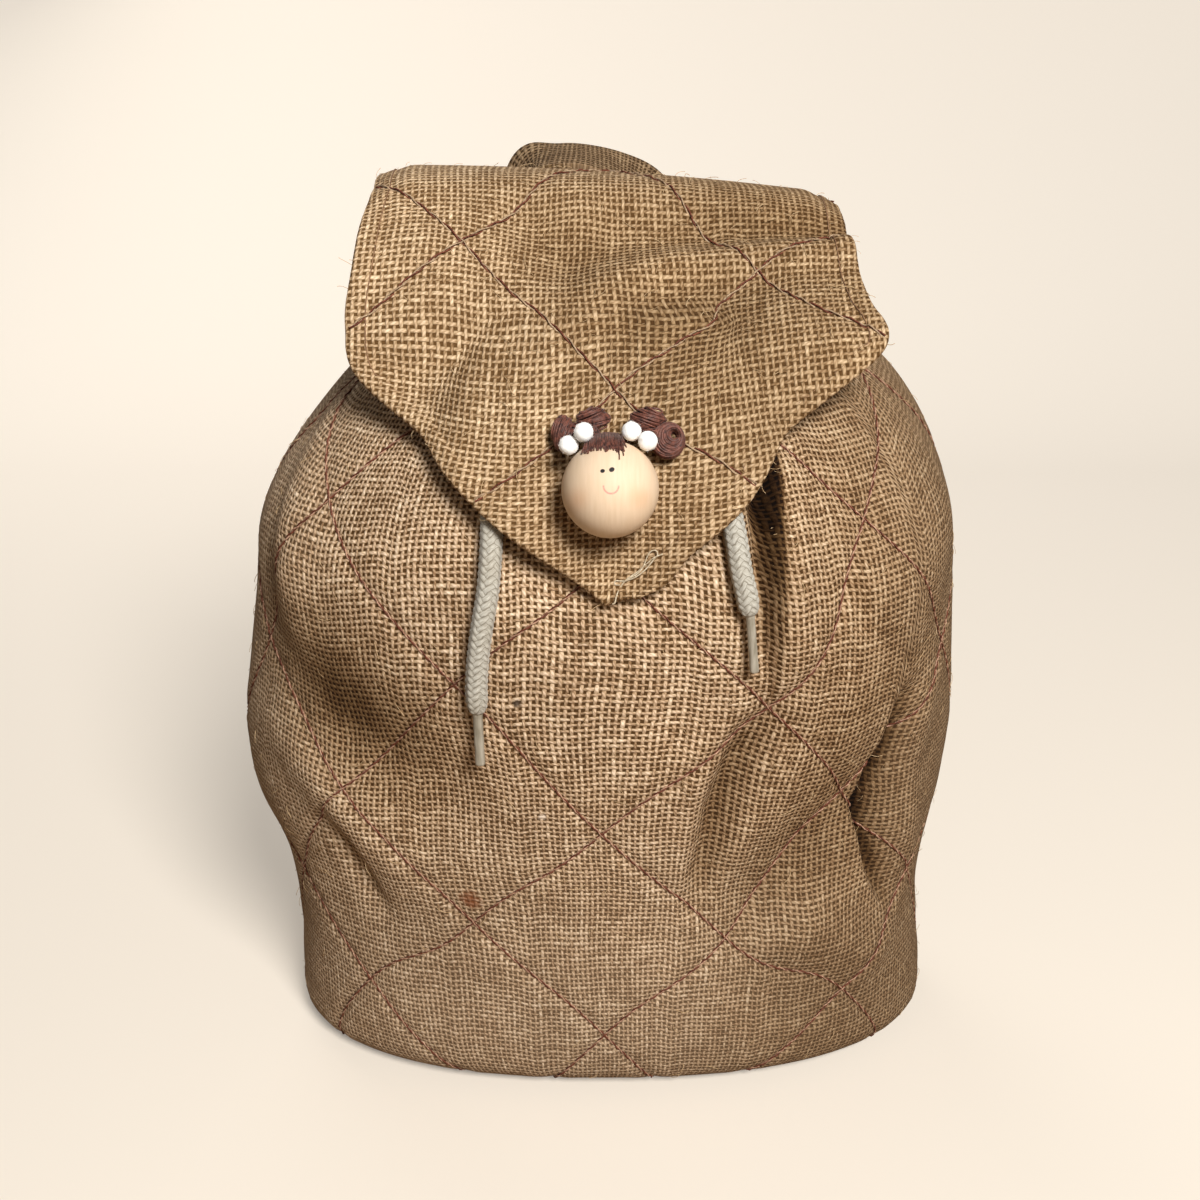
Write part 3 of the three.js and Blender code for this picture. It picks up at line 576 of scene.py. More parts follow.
class Finish(NodeTree):
    """A material made of nodes."""

    def __init__(self, name, roughness=0.9, **shader):
        self.material = bpy.data.materials.new(name)
        self.material.use_nodes = True
        self.tree = self.material.node_tree
        self.shader = self.tree.nodes["Principled BSDF"]
        self.shader.inputs["Roughness"].default_value = roughness
        for key, value in shader.items():
            label = key.replace("_", " ").title().replace("Ior", "IOR")
            self.shader.inputs[label].default_value = value

    def uv(self):
        return self.node("ShaderNodeUVMap", uv_map="cloth")

    def place(self):
        return self.node("ShaderNodeTexCoord", out="Object")

    def vector(self, operation, a, b=(0, 0, 0), scale=1.0):
        return self.node("ShaderNodeVectorMath", {0: a, 1: b, 3: scale}, operation=operation)

    def distance(self, a, b=(0, 0, 0)):
        return self.node("ShaderNodeVectorMath", {0: a, 1: b}, out="Value", operation="DISTANCE")

    def scaled(self, vector, scale, location=(0, 0, 0)):
        inputs = {"Vector": vector, "Scale": scale, "Location": location}
        return self.node("ShaderNodeMapping", inputs)

    def noise(self, vector, scale, detail=2.0, roughness=0.5, out=0):
        inputs = {"Vector": vector, "Scale": scale, "Detail": detail, "Roughness": roughness}
        return self.node("ShaderNodeTexNoise", inputs, out=out)

    def strayed(self, vector, scale, detail, reach):
        """The vector moved to and fro at random by up to half the reach."""
        stray = self.noise(vector, scale, detail, out="Color")
        stray = self.vector("SUBTRACT", stray, (0.5, 0.5, 0.5))
        return self.vector("ADD", vector, self.vector("SCALE", stray, scale=reach))

    def ramp(self, value, low, high, to_low=0.0, to_high=1.0, smooth=False):
        inputs = {"Value": value, 1: low, 2: high, 3: to_low, 4: to_high}
        kind = "SMOOTHSTEP" if smooth else "LINEAR"
        return self.node("ShaderNodeMapRange", inputs, interpolation_type=kind)

    def choose(self, factor, a, b):
        return self.node("ShaderNodeMix", {0: factor, 2: a, 3: b})

    def mix(self, factor, a, b, blend="MIX"):
        inputs = {0: factor, 6: a, 7: b}
        return self.node("ShaderNodeMix", inputs, out=2, data_type="RGBA", blend_type=blend)

    def shaded(self, colour, amount, red_power=1.0, blue_power=1.0):
        """The colour times an amount, which red and blue may follow by a power of their own."""
        powers = (red_power, 1.0, blue_power)
        channels = [amount if power == 1 else self.math("POWER", amount, power) for power in powers]
        grey = self.node("ShaderNodeCombineColor", dict(enumerate(channels)))
        return self.mix(1.0, colour, grey, "MULTIPLY")

    def colour(self, socket):
        self.tree.links.new(socket, self.shader.inputs["Base Color"])

    def bump(self, height, distance, strength=1.0):
        inputs = {"Height": height, "Distance": distance, "Strength": strength}
        self.tree.links.new(self.node("ShaderNodeBump", inputs), self.shader.inputs["Normal"])


def srgb(red, green, blue):
    """Linear colour from 0 to 255 display values."""

    def linear(value):
        value /= 255
        return value / 12.92 if value <= 0.04045 else ((value + 0.055) / 1.055) ** 2.4

    return (linear(red), linear(green), linear(blue), 1.0)


# ---------------------------------------------------------------- jute

# half width of a thread at its thinnest and thickest, in thread spacings
THREAD_THIN, THREAD_THICK = 0.21, 0.38
# share of the weave's height that a thread's round section makes, and its way over and under
THREAD_ROUND, THREAD_RISE = 0.62, 0.38
GAP_DEPTH = 0.62
DUSTY = srgb(150, 128, 104)
# painted shade of the bag's back, between the painted shades of its flanks
BACK_SHADE = 0.8


def jute_threads(f, across, along, way, thick):
    """Height, shade and round profile of one set of threads. way is 1 for the set that lies over
    the other on even cells, and -1 for the other."""

    def streaks(side, side_scale, along_scale, seed, detail, roughness):
        place = f.join(f.multiply(side, side_scale), f.multiply(along, along_scale), way * seed)
        return f.noise(place, 1.0, detail, roughness)

    number = f.math("FLOOR", across)
    offset = f.subtract(f.math("FRACT", across), 0.5)
    slub = streaks(number, 7.31, 0.22, 3.7, 2.0, 0.6)
    half = f.ramp(slub, 0.3, 0.75, THREAD_THIN * thick, THREAD_THICK * thick)
    inside = f.math("POWER", f.math("DIVIDE", offset, half), 2.0)
    profile = f.math("SQRT", f.math("SUBTRACT", 1.0, inside, clamp=True))
    phase = f.add(f.multiply(f.subtract(along, 0.5), math.pi), f.multiply(number, math.pi))
    rise = f.multiply(f.math("COSINE", phase), float(way))
    height = f.add(f.multiply(profile, THREAD_ROUND), f.multiply(rise, THREAD_RISE))
    missing = f.subtract(1.0, f.math("LESS_THAN", inside, 1.0))
    height = f.subtract(height, f.multiply(missing, 3.0))

    streak = streaks(across, 9.0, 1.6, 9.1, 3.0, 0.65)
    tone = streaks(number, 3.77, 0.11, 5.3, 2.0, 0.6)
    twist = f.add(f.multiply(along, 2.4), f.multiply(offset, 3.2))
    twist = f.multiply(f.math("SINE", f.multiply(twist, math.pi)), 0.07)
    shade = f.add(f.add(f.multiply(streak, 0.55), f.multiply(tone, 0.55)), twist)
    return height, f.add(shade, f.multiply(f.subtract(slub, 0.5), 0.35)), profile


def painted_fold_shade(f, around, side_shade):
    """Painted shade: darker in the creases and hollows, darkest in the slit, and on the flank
    turned from the light; both flanks come to one painted shade at the back.
    """
    hollow = f.node("ShaderNodeAttribute", out="Fac", attribute_name="hollow")
    # painted shade in the creases and hollows, darkest in the slit beside the lip
    crease_shade = f.ramp(hollow, 0.001, 0.026, 1.0, 0.32)
    slit_shade = f.ramp(hollow, 0.022, 0.038, 1.0, 0.12)
    # painted shade on the flank turned from the light, meeting one painted shade at the back
    side = f.ramp(around, *side_shade)
    back = f.ramp(f.math("ABSOLUTE", around), 0.2, 0.38)
    side = f.add(side, f.multiply(back, f.subtract(BACK_SHADE, side)))
    return f.multiply(f.multiply(crease_shade, slit_shade), side)


def jute_cloth(
    name, pitch, colours, shift=(0.0, 0.0), dulled=0.0, marks=(), thick=1.0, side_shade=(0, 1, 1, 1)
):
    """Plain weave of coarse jute. pitch is the thread spacing in millimetres, the UV map is in
    metres, and the last argument is a ramp of painted shade across the cloth, for the flank turned
    from the light: from, to, shade before and shade after."""
    f = Finish(name, 0.92, specular_ior_level=0.15)
    light, middle, dark, gap = colours

    # the cloth is pulled a little out of square, and each thread sways
    flat = f.uv()
    pulled = f.strayed(flat, 9.0, 1.0, 0.015)
    threads = f.scaled(pulled, (1000 / pitch, 1000 / pitch, 1), (*shift, 0))
    u, v, _ = f.split(f.strayed(threads, 0.33, 1.5, 0.4))
    warp_height, warp_shade, warp_profile = jute_threads(f, u, v, 1, thick)
    weft_height, weft_shade, weft_profile = jute_threads(f, v, u, -1, thick)
    warp_over = f.math("GREATER_THAN", warp_height, weft_height)
    shade = f.choose(warp_over, weft_shade, warp_shade)
    profile = f.choose(warp_over, weft_profile, warp_profile)
    height = f.math("MAXIMUM", warp_height, weft_height)
    hole = f.math("LESS_THAN", height, -1.0)
    height = f.math("MAXIMUM", height, -GAP_DEPTH)

    # threads with painted light and shade, lightest on their crowns and darker at their sides and
    # where they pass under, and loose fibre in the gaps
    thread = f.mix(f.ramp(shade, 0.36, 0.56), dark, middle)
    thread = f.mix(f.ramp(shade, 0.56, 0.8), thread, light)
    # painted highlight on each thread's crown, painted shade on its sides and where it dives under
    crown = f.multiply(f.ramp(profile, 0.0, 0.95, 0.36, 1.0), f.ramp(height, 0.0, 0.95, 0.5, 1.14))
    thread = f.shaded(thread, crown, 0.86, 1.3)
    fluff = f.noise(f.scaled(flat, (2600, 520, 1)), 1.0, 2.0, 0.7)
    # the holes show painted shade of what lies behind them, mixed with loose fibre
    behind = f.mix(f.ramp(fluff, 0.52, 0.8, 0.0, 0.55), gap, dark)
    cloud = f.ramp(f.noise(flat, 14.0, 3.0, 0.55), 0.3, 0.7, 0.9, 1.1)
    colour = f.shaded(f.mix(hole, thread, behind), cloud)

    # duller and greyer low down and on the flanks, then marks, then painted shade in the creases
    # and on one flank
    around, up, _ = f.split(flat)
    if dulled:
        low = f.ramp(up, 0.03, 0.2, dulled, 0.0, True)
        flank = f.ramp(f.math("ABSOLUTE", around), 0.1, 0.19, 0.0, dulled * 1.4)
        colour = f.mix(f.math("MAXIMUM", low, flank), colour, DUSTY)
    for (x, y), radius, stain, strength in marks:
        reach = radius * MM
        far = f.distance(flat, (x * MM, y * MM, 0))
        ragged = f.add(far, f.multiply(f.noise(flat, 420.0, 2.0), reach * 0.9))
        colour = f.mix(f.ramp(ragged, reach * 0.7, reach * 1.5, strength, 0.0, True), colour, stain)
    # painted shade in the creases and on the flank turned from the light darkens the colour
    f.colour(f.shaded(colour, painted_fold_shade(f, around, side_shade), 0.85, 1.25))
    fuzz = f.noise(f.scaled(flat, (9000, 9000, 1)), 1.0, 2.0, 0.6)
    f.bump(f.add(height, f.multiply(fuzz, 0.22)), 0.00075, 0.85)
    return f.material


# the threads of each cloth from light to dark, then the painted shade seen through the gaps between
# them
BAG_COLOURS = (srgb(250, 227, 198), srgb(204, 173, 140), srgb(138, 106, 74), srgb(78, 53, 27))
FLAP_COLOURS = (srgb(232, 205, 170), srgb(186, 156, 121), srgb(134, 103, 69), srgb(92, 64, 34))
TRIM_COLOURS = (srgb(172, 148, 116), srgb(138, 112, 84), srgb(98, 76, 54), srgb(60, 42, 24))
# rust, a dark speck and a pale knot: place round and up the cloth, radius, colour, strength
BAG_MARKS = [
    ((-58.6, 118), 6.4, srgb(128, 74, 42), 0.85),
    ((-29, 218), 2.2, srgb(58, 46, 38), 0.9),
    ((-23.2, 163.2), 2.0, srgb(232, 212, 190), 0.9),
]
# the last ramp paints shade on the right flank of the bag and the flap, and a little painted light
# on the flap's left
BAG_CLOTH = jute_cloth(
    "bag_jute", 2.5, BAG_COLOURS, dulled=0.35, marks=BAG_MARKS, side_shade=(0.03, 0.11, 1.0, 0.58)
)
FLAP_CLOTH = jute_cloth(
    "flap_jute", 2.5, FLAP_COLOURS, (0.31, 0.17), thick=0.97, side_shade=(-0.08, 0.08, 1.06, 0.77)
)
TRIM_CLOTH = jute_cloth("trim_jute", 2.1, TRIM_COLOURS, (0.6, 0.2))

# ---------------------------------------------------------------- thread, cord, floss and cotton


def plain_thread(name, base, dark, roughness=0.7):
    """Twisted sewing thread, flecked darker at random."""
    f = Finish(name, roughness, specular_ior_level=0.25)
    fleck = f.noise(f.place(), 900.0, 2.0, 0.6)
    f.colour(f.mix(f.ramp(fleck, 0.35, 0.65), dark, base))
    return f.material


THREAD_BROWN = plain_thread("thread_brown", srgb(120, 66, 46), srgb(78, 40, 28))
THREAD_ROSE = plain_thread("thread_rose", srgb(190, 152, 126), srgb(132, 92, 70))
THREAD_NATURAL = plain_thread("thread_natural", srgb(212, 198, 172), srgb(168, 150, 122))
THREAD_SAND = plain_thread("thread_sand", srgb(182, 156, 126), srgb(134, 108, 82))
THREAD_HEM = plain_thread("thread_hem", srgb(150, 116, 84), srgb(104, 74, 52))
FIBRE = plain_thread("jute_fibre", srgb(214, 186, 146), srgb(168, 134, 92), 0.8)


def braid_finish():
    """Cotton braid: painted shade darkens the strand edges, each strand has fine streaks."""
    f = Finish("cord_braid", 0.85, sheen_weight=0.15, specular_ior_level=0.2)
    pull = f.vector("SCALE", f.noise(f.place(), 420.0, 1.0, out="Color"), scale=0.7)
    a, b, _ = f.split(f.vector("ADD", f.scaled(f.uv(), (1000, 1000, 1)), pull))
    cell = f.subtract(f.math("FLOOR", a), f.math("FLOOR", b))
    over = f.math("LESS_THAN", f.math("FLOORED_MODULO", cell, 4.0), 1.5)
    edge_a, edge_b = [f.math("ABSOLUTE", f.subtract(f.math("FRACT", side), 0.5)) for side in (a, b)]
    edge = f.choose(over, edge_b, edge_a)
    along, across = f.choose(over, a, b), f.choose(over, b, a)
    streak = f.noise(f.join(f.multiply(across, 6.0), f.multiply(along, 0.9)), 1.0, 2.0)
    tone = f.mix(f.ramp(streak, 0.3, 0.7), srgb(157, 151, 138), srgb(194, 190, 178))
    grime = f.noise(f.place(), 60.0, 3.0)
    tone = f.mix(f.ramp(grime, 0.45, 0.75, 0.0, 0.35), tone, srgb(158, 148, 128))
    # painted shade at the edges of each strand, where strands meet
    f.colour(f.mix(f.ramp(edge, 0.3, 0.5, 0.0, 0.75, True), tone, srgb(104, 96, 80)))
    f.bump(f.subtract(0.5, edge), 0.0004, 0.5)
    return f.material


def aglet_finish():
    """Dull metal, scuffed along the tube."""
    f = Finish("aglet_satin", 0.38, specular_ior_level=0.5)
    scuff = f.noise(f.scaled(f.place(), (900, 900, 120)), 1.0, 3.0)
    f.colour(f.mix(f.ramp(scuff, 0.35, 0.7), srgb(132, 124, 108), srgb(170, 162, 146)))
    f.bump(scuff, 0.0001, 0.4)
    return f.material


def hair_finish():
    """Embroidery floss: fine streaks along each strand with a soft sheen."""
    f = Finish("hair_floss", 0.5, sheen_weight=0.1, specular_ior_level=0.35)
    streak = f.noise(f.place(), 620.0, 3.0, 0.7)
    f.colour(f.mix(f.ramp(streak, 0.35, 0.7), srgb(50, 24, 18), srgb(128, 76, 60)))
    return f.material


def cotton_finish():
    """Teased cotton wool, slightly lumpy."""
    f = Finish("cotton_white", 0.95, sheen_weight=0.4, specular_ior_level=0.1)
    lump = f.noise(f.place(), 700.0, 3.0, 0.6)
    f.colour(f.mix(f.ramp(lump, 0.3, 0.7), srgb(236, 234, 229), srgb(252, 251, 248)))
    f.bump(lump, 0.0003, 0.5)
    return f.material


CORD_BRAID = braid_finish()
AGLET = aglet_finish()
HAIR_FLOSS = hair_finish()
COTTON = cotton_finish()
COTTON_FLUFF = plain_thread("cotton_fluff", srgb(252, 251, 248), srgb(236, 234, 229), 0.9)

# ---------------------------------------------------------------- the doll's face

# on the ball, in millimetres

# place, half sizes and turn of each eye
EYES = [((-2.85, 3.5), (0.8, 0.7), 0.2), ((0.25, 3.95), (1.0, 0.82), 0.6)]
SMILE_CENTRE, SMILE_RADIUS = (0.0, -1.6), 2.55
# place and reach
BLUSH = [((-11.5, -5.5), 6.0), ((9.5, -5.0), 5.5)]
PAINT_DARK, PAINT_PINK, PAINT_BLUSH = srgb(30, 26, 26), srgb(222, 136, 126), srgb(212, 162, 122)


def face_finish():
    """Turned pale wood with a painted face. The UV map is the ball seen along the button's axis."""
    f = Finish("painted_wood", 0.6, specular_ior_level=0.3)
    flat = f.uv()
    x, y, _ = f.split(flat)
    grain = f.noise(f.scaled(f.place(), (900, 60, 90)), 1.0, 3.0, 0.6)
    face = f.mix(f.ramp(grain, 0.3, 0.7), srgb(213, 187, 156), srgb(221, 196, 168))
    tint = f.noise(f.place(), 60.0, 2.0)
    face = f.mix(f.ramp(tint, 0.45, 0.8, 0.0, 0.4), face, srgb(226, 192, 156))
    for (bx, by), reach in BLUSH:
        far = f.distance(flat, (bx * MM, by * MM, 0))
        face = f.mix(f.ramp(far, 0, reach * MM, 0.42, 0.0, True), face, PAINT_BLUSH)

    # smile: the arc below its centre, in a brush line that wavers
    sx, sy = SMILE_CENTRE
    ring = f.subtract(f.distance(flat, (sx * MM, sy * MM, 0)), SMILE_RADIUS * MM)
    line = f.ramp(f.math("ABSOLUTE", ring), 0.14 * MM, 0.42 * MM, 0.85, 0.0, True)
    below = f.ramp(f.subtract(y, sy * MM), -0.2 * MM, 0.5 * MM, 1.0, 0.0, True)
    waver = f.noise(f.scaled(flat, (1600, 1600, 1)), 1.0, 1.0)
    line = f.multiply(f.multiply(line, below), f.ramp(waver, 0.3, 0.5, 0.6, 1.0))
    face = f.mix(line, face, PAINT_PINK)

    for (ex, ey), (rx, ry), turn in EYES:
        dx, dy = f.subtract(x, ex * MM), f.subtract(y, ey * MM)
        c, s = math.cos(turn) / MM, math.sin(turn) / MM
        along = f.add(f.multiply(dx, c / rx), f.multiply(dy, s / rx))
        across = f.add(f.multiply(dx, -s / ry), f.multiply(dy, c / ry))
        far = f.distance(f.join(along, across))
        face = f.mix(f.ramp(far, 0.85, 1.12, 1.0, 0.0, True), face, PAINT_DARK)
    f.colour(face)
    f.bump(grain, 0.0001, 0.2)
    return f.material


PAINTED_WOOD = face_finish()

# ---------------------------------------------------------------- node trees for threads and fibres


class Growth(NodeTree):
    """A geometry node tree with named sizes, built once and grown on any piece."""

    def __init__(self, name, **sizes):
        self.tree = bpy.data.node_groups.new(name, "GeometryNodeTree")
        self.sockets = {}
        kinds = {float: "NodeSocketFloat", int: "NodeSocketInt"}
        self.socket("Geometry", "NodeSocketGeometry")
        for label, value in sizes.items():
            self.socket(label, kinds[type(value)]).default_value = value
        self.socket("finish", "NodeSocketMaterial")
        self.socket("Geometry", "NodeSocketGeometry", "OUTPUT")
        self.given = self.tree.nodes.new("NodeGroupInput")

    def socket(self, label, kind, in_out="INPUT"):
        made = self.tree.interface.new_socket(label, in_out=in_out, socket_type=kind)
        self.sockets[label] = made.identifier
        return made

    def tube(self, path, ring):
        return self.node(
            "GeometryNodeCurveToMesh", {"Curve": path, "Profile Curve": ring, "Fill Caps": True}
        )

    def size(self, label):
        return self.given.outputs[label]

    def length(self, label):
        return self.multiply(self.size(label), MM)

    def half(self, label):
        return self.multiply(self.size(label), MM / 2)

    def close(self, geometry):
        real = self.node("GeometryNodeRealizeInstances", {0: geometry})
        smooth = self.node("GeometryNodeSetShadeSmooth", {0: real})
        done = self.node("GeometryNodeSetMaterial", {0: smooth, "Material": self.size("finish")})
        last = self.tree.nodes.new("NodeGroupOutput")
        self.tree.links.new(done, last.inputs[0])

    def grow(self, name, source, finish, **sizes):
        """A plain mesh piece of what the tree makes on the source."""
        modifier = source.modifiers.new("growth", "NODES")
        modifier.node_group = self.tree
        modifier[self.sockets["finish"]] = finish
        for label, value in sizes.items():
            modifier[self.sockets[label]] = value
        graph = bpy.context.evaluated_depsgraph_get()
        mesh = bpy.data.meshes.new_from_object(source.evaluated_get(graph), depsgraph=graph)
        source.modifiers.remove(modifier)
        mesh.name = name
        return new_object(name, mesh)


def ply_tree():
    """One ply of a twisted thread along each path: it winds round the path's line."""
    g = Growth("ply", width=0.8, wind=0.3, turns=160.0, start=0.0)
    ring = g.node("GeometryNodeCurvePrimitiveCircle", {"Resolution": 5, "Radius": g.half("width")})
    ring = g.node("GeometryNodeSetPosition", {0: ring, "Offset": g.join(g.length("wind"))})
    along = g.node("GeometryNodeSplineParameter", out="Length")
    tilt = g.multiply(along, g.multiply(g.size("turns"), 2 * math.pi))
    tilt = g.add(tilt, g.size("start"))
    path = g.node("GeometryNodeSetCurveTilt", {0: g.given.outputs[0], "Tilt": tilt})
    g.close(g.tube(path, ring))
    return g


def fluff_tree():
    """Short curved fibres scattered over a surface, lying at random on it, none near the ground."""
    g = Growth("fluff", density=9000.0, length=5.0, thick=0.14, lift=0.5, above=9.0, seed=3)
    seed = g.size("seed")
    surface = {"Mesh": g.given.outputs[0], "Density": g.size("density"), "Seed": seed}
    points = g.node("GeometryNodeDistributePointsOnFaces", surface)

    # one fibre: a thin bowed line
    long = g.length("length")
    rise = g.multiply(long, g.size("lift"))
    middle = g.join(g.multiply(long, 0.5), g.multiply(long, 0.2), rise)
    end = g.join(long, g.multiply(long, -0.15), g.multiply(rise, 0.5))
    bow = {"Resolution": 5, "Start": (0, 0, -0.0002), "Middle": middle, "End": end}
    arc = g.node("GeometryNodeCurveQuadraticBezier", bow)
    ring = g.node("GeometryNodeCurvePrimitiveCircle", {"Resolution": 3, "Radius": g.half("thick")})
    fibre = g.tube(arc, ring)

    # each is turned and sized at random
    limits = {"Min": (-0.35, -0.25, 0.0), "Max": (0.35, 0.25, 2 * math.pi), "Seed": seed}
    spin = g.node("FunctionNodeRandomValue", limits, data_type="FLOAT_VECTOR")
    spin = {0: points.node.outputs["Rotation"], 1: g.node("FunctionNodeEulerToRotation", {0: spin})}
    turned = g.node("FunctionNodeRotateRotation", spin, rotation_space="LOCAL")
    limits = {2: 0.45, 3: 1.7, "Seed": seed}
    sized = g.node("FunctionNodeRandomValue", limits, out=1, data_type="FLOAT")
    height = g.split(g.node("GeometryNodeInputPosition"))[2]
    clear = g.math("GREATER_THAN", height, g.length("above"))
    scatter = {"Points": points, "Selection": clear, "Instance": fibre}
    scatter.update({"Rotation": turned, "Scale": sized})
    g.close(g.node("GeometryNodeInstanceOnPoints", scatter))
    return g


PLY = ply_tree()
FLUFF = fluff_tree()


def path_object(name, lines):
    """Curve object of open lines, in millimetres."""
    data = bpy.data.curves.new(name, "CURVE")
    data.dimensions = "3D"
    for line in lines:
        spline = data.splines.new("POLY")
        spline.points.add(len(line) - 1)
        places = np.concatenate([np.asarray(line) * MM, np.ones((len(line), 1))], axis=1)
        spline.points.foreach_set("co", places.ravel())
    return new_object(name, data)


def plied(name, lines, plies, width, wind=0.0, turns=0.0):
    """Thread pieces of one or more plies, each with its own finish, along the same lines."""
    source = path_object(name + "_path", lines)
    made = []
    for k, finish in enumerate(plies):
        piece_name = f"{name}_{k + 1}" if len(plies) > 1 else name
        sizes = {"width": width, "wind": wind, "turns": turns}
        sizes["start"] = 2 * math.pi * k / len(plies)
        made.append(PLY.grow(piece_name, source, finish, **sizes))
    bpy.data.objects.remove(source)
    return made


def on_root(piece, slot, *nodes):
    """The piece hangs from the root and stands for the nodes named, which are hidden; slot, a
    material slot's name, is not used.
    """
    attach(piece, "root")
    if nodes:
        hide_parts(*nodes)
    return piece


# ---------------------------------------------------------------- drawstring

# free length of each end in metres, from where it leaves the gathers
CORD_LEFT_LENGTH = 0.214
CORD_RIGHT_LENGTH = 0.177
# the braid narrows over this length into its tip
CORD_TAPER = 6.5
BRAID_CARRIERS = 8
BRAID_PITCH = 2.8
BRAID_CORE = CORD_DIAMETER / 2 - 0.55
STRAND_HALF = 0.62
STRAND_RELIEF = 0.85
# place along the metal tip, and its radius there as a share of the full one
AGLET_CRIMP = [(-2.2, 0.0), (-2.2, 0.86), (-1.2, 1.0), (0.4, 1.04), (0.8, 0.98)]
AGLET_RIM = [(-0.9, 1.02), (-0.3, 0.98), (0, 0.8), (0, 0.0)]


def in_groove(angle, z):
    """Places on the cord's middle line where it lies in the gathers."""
    return polar(angle, body_radius(angle, z) + CORD_OFF + GROOVE_GAP, z)


def drawstring_points():
    """The ring round the neck, a little short of both exits."""
    first, last = CORD_LEFT_PATH[0][0] - 1.4, CORD_RIGHT_PATH[0][0] + 1.4 - 360
    return in_groove(np.linspace(first, last, 37), GROOVE_HEIGHT)


def free_end_points(path):
    """Each end leaves the groove and comes to lie on the cloth by its fourth point."""
    points = []
    for i, (angle, z) in enumerate(path):
        groove = in_groove(angle, z)
        on_cloth = off_body(plain_radius, angle, z, CORD_OFF)
        points.append(groove + (on_cloth - groove) * min(i / 3, 1))
    return np.array(points)


def tube_frames(line):
    """Two cross directions along a line, without twist."""
    tangent = unit(np.gradient(line, axis=0))
    side = unit(np.cross(tangent[0], (0.3, 0.2, 1)))
    sides = []
    for t in tangent:
        side = unit(side - t * (side @ t))
        sides.append(side)
    sides = np.array(sides)
    return sides, np.cross(tangent, sides)


def round_share(x):
    """A quarter circle: 0 at 0 and 1 from 1 on."""
    return np.sqrt(np.clip(1 - (1 - np.clip(x, 0, 1)) ** 2, 0, 1))


def braided(name, points, last_width=1.0, around=40, step=0.5):
    """Round braid along the points, whose strands cross in columns of chevrons. last_width is the
    share of its width that its end keeps."""
    line = resample(points, step)
    side, other = tube_frames(line)
    rows = len(line) - 1
    far = arc_length(line, 0)
    length, angle = np.meshgrid(far, np.linspace(0, 2 * math.pi, around + 1), indexing="ij")
    a = angle * BRAID_CARRIERS / (2 * math.pi) + length / BRAID_PITCH + 0.25
    b = -angle * BRAID_CARRIERS / (2 * math.pi) + length / BRAID_PITCH
    state = (np.floor(a) - np.floor(b)) % 4
    over = state < 2
    across = np.where(over, a, b) % 1 - 0.5
    run = np.where(over, 1 - state + b % 1, state - 2 + a % 1)
    rise = 0.45 + 0.55 * np.sin(np.pi * np.clip(run / 2, 0, 1))
    strand = np.sqrt(np.clip(1 - (across / STRAND_HALF) ** 2, 0, 1)) * rise
    narrow = last_width + (1 - last_width) * round_share((far[-1] - length) / CORD_TAPER)
    radius = ((BRAID_CORE + STRAND_RELIEF * strand) * narrow)[..., None]
    grid = line[:, None] + radius * (
        np.cos(angle)[..., None] * side[:, None] + np.sin(angle)[..., None] * other[:, None]
    )
    uv = np.stack([a, b], axis=-1)
    faces, spots = grid_faces(around, rows, True)
    points_all = np.concatenate([grid[:, :-1].reshape(-1, 3), line[:1], line[-1:]])
    first_cap, last_cap = len(points_all) - 2, len(points_all) - 1
    caps, cap_uv = [], []
    for i in range(around):
        j = (i + 1) % around
        caps += [(first_cap, j, i), (last_cap, rows * around + i, rows * around + j)]
        cap_uv += [uv[0, i]] * 3 + [uv[-1, i]] * 3
    corner_uv = np.concatenate([uv[spots[..., 1], spots[..., 0]].reshape(-1, 2), np.array(cap_uv)])
    return mesh_piece(name, points_all, faces.tolist() + caps, corner_uv, CORD_BRAID)


def aglet(name, line_points, diameter, around=24):
    """Crimped tube on the cord's end, a little flattened, with a soft rim."""
    end, before = line_points[-1], line_points[-2]
    along = unit(unit(end - before) * 0.5 + np.array([0.02, 0, -1]) * 0.5)
    first = end + along * 0.6
    side = unit(np.cross(along, (0, 1, 0)))
    other = np.cross(along, side)
    tube = [(x, 0.98 - 0.03 * math.sin(x * 0.9)) for x in np.linspace(2, AGLET_LENGTH - 1.8, 18)]
    profile = AGLET_CRIMP + tube + [(AGLET_LENGTH + x, share) for x, share in AGLET_RIM]
    turn = np.linspace(0, 2 * math.pi, around, endpoint=False)[:, None]
    rows = []
    for x, share in profile:
        squeeze = 1 - 0.08 * smoothstep(x, 1, 6)
        ring = np.cos(turn) * side + squeeze * np.sin(turn) * other
        rows.append(first + along * x + diameter / 2 * share * ring)
    faces, _ = grid_faces(around, len(profile) - 1, True)
    return mesh_piece(name, np.array(rows).reshape(-1, 3), faces, None, AGLET)


def make_drawstring():
    """The braided cord round the neck, and its two loose ends with their metal tips."""
    on_root(braided("neck_cord", drawstring_points(), around=28, step=0.8), "cord", "drawstring")
    for side, path, length, width in (
        ("left", CORD_LEFT_PATH, CORD_LEFT_LENGTH, 3.8),
        ("right", CORD_RIGHT_PATH, CORD_RIGHT_LENGTH, 3.4),
    ):
        points = free_end_points(path)
        cord = on_root(braided(f"cord_end_{side}", points, 0.5), "cord", f"cord_{side}")
        tip = on_root(aglet(f"cord_tip_{side}", points, width), "aglet", f"aglet_{side}")


make_drawstring()

# ---------------------------------------------------------------- stitch lines

# height at which the bag is fullest
GIRTH_HEIGHT = 160


def reference_girth():
    """Angle and the distance round the bag at its fullest, from the middle of the front."""
    angle = np.linspace(-180, 180, 1441)
    ring = polar(angle, plain_radius(angle, GIRTH_HEIGHT), 0.0)
    far = arc_length(ring, 0)
    return angle, far - np.interp(0, angle, far), far[-1]


GIRTH_ANGLE, GIRTH_FAR, GIRTH = reference_girth()
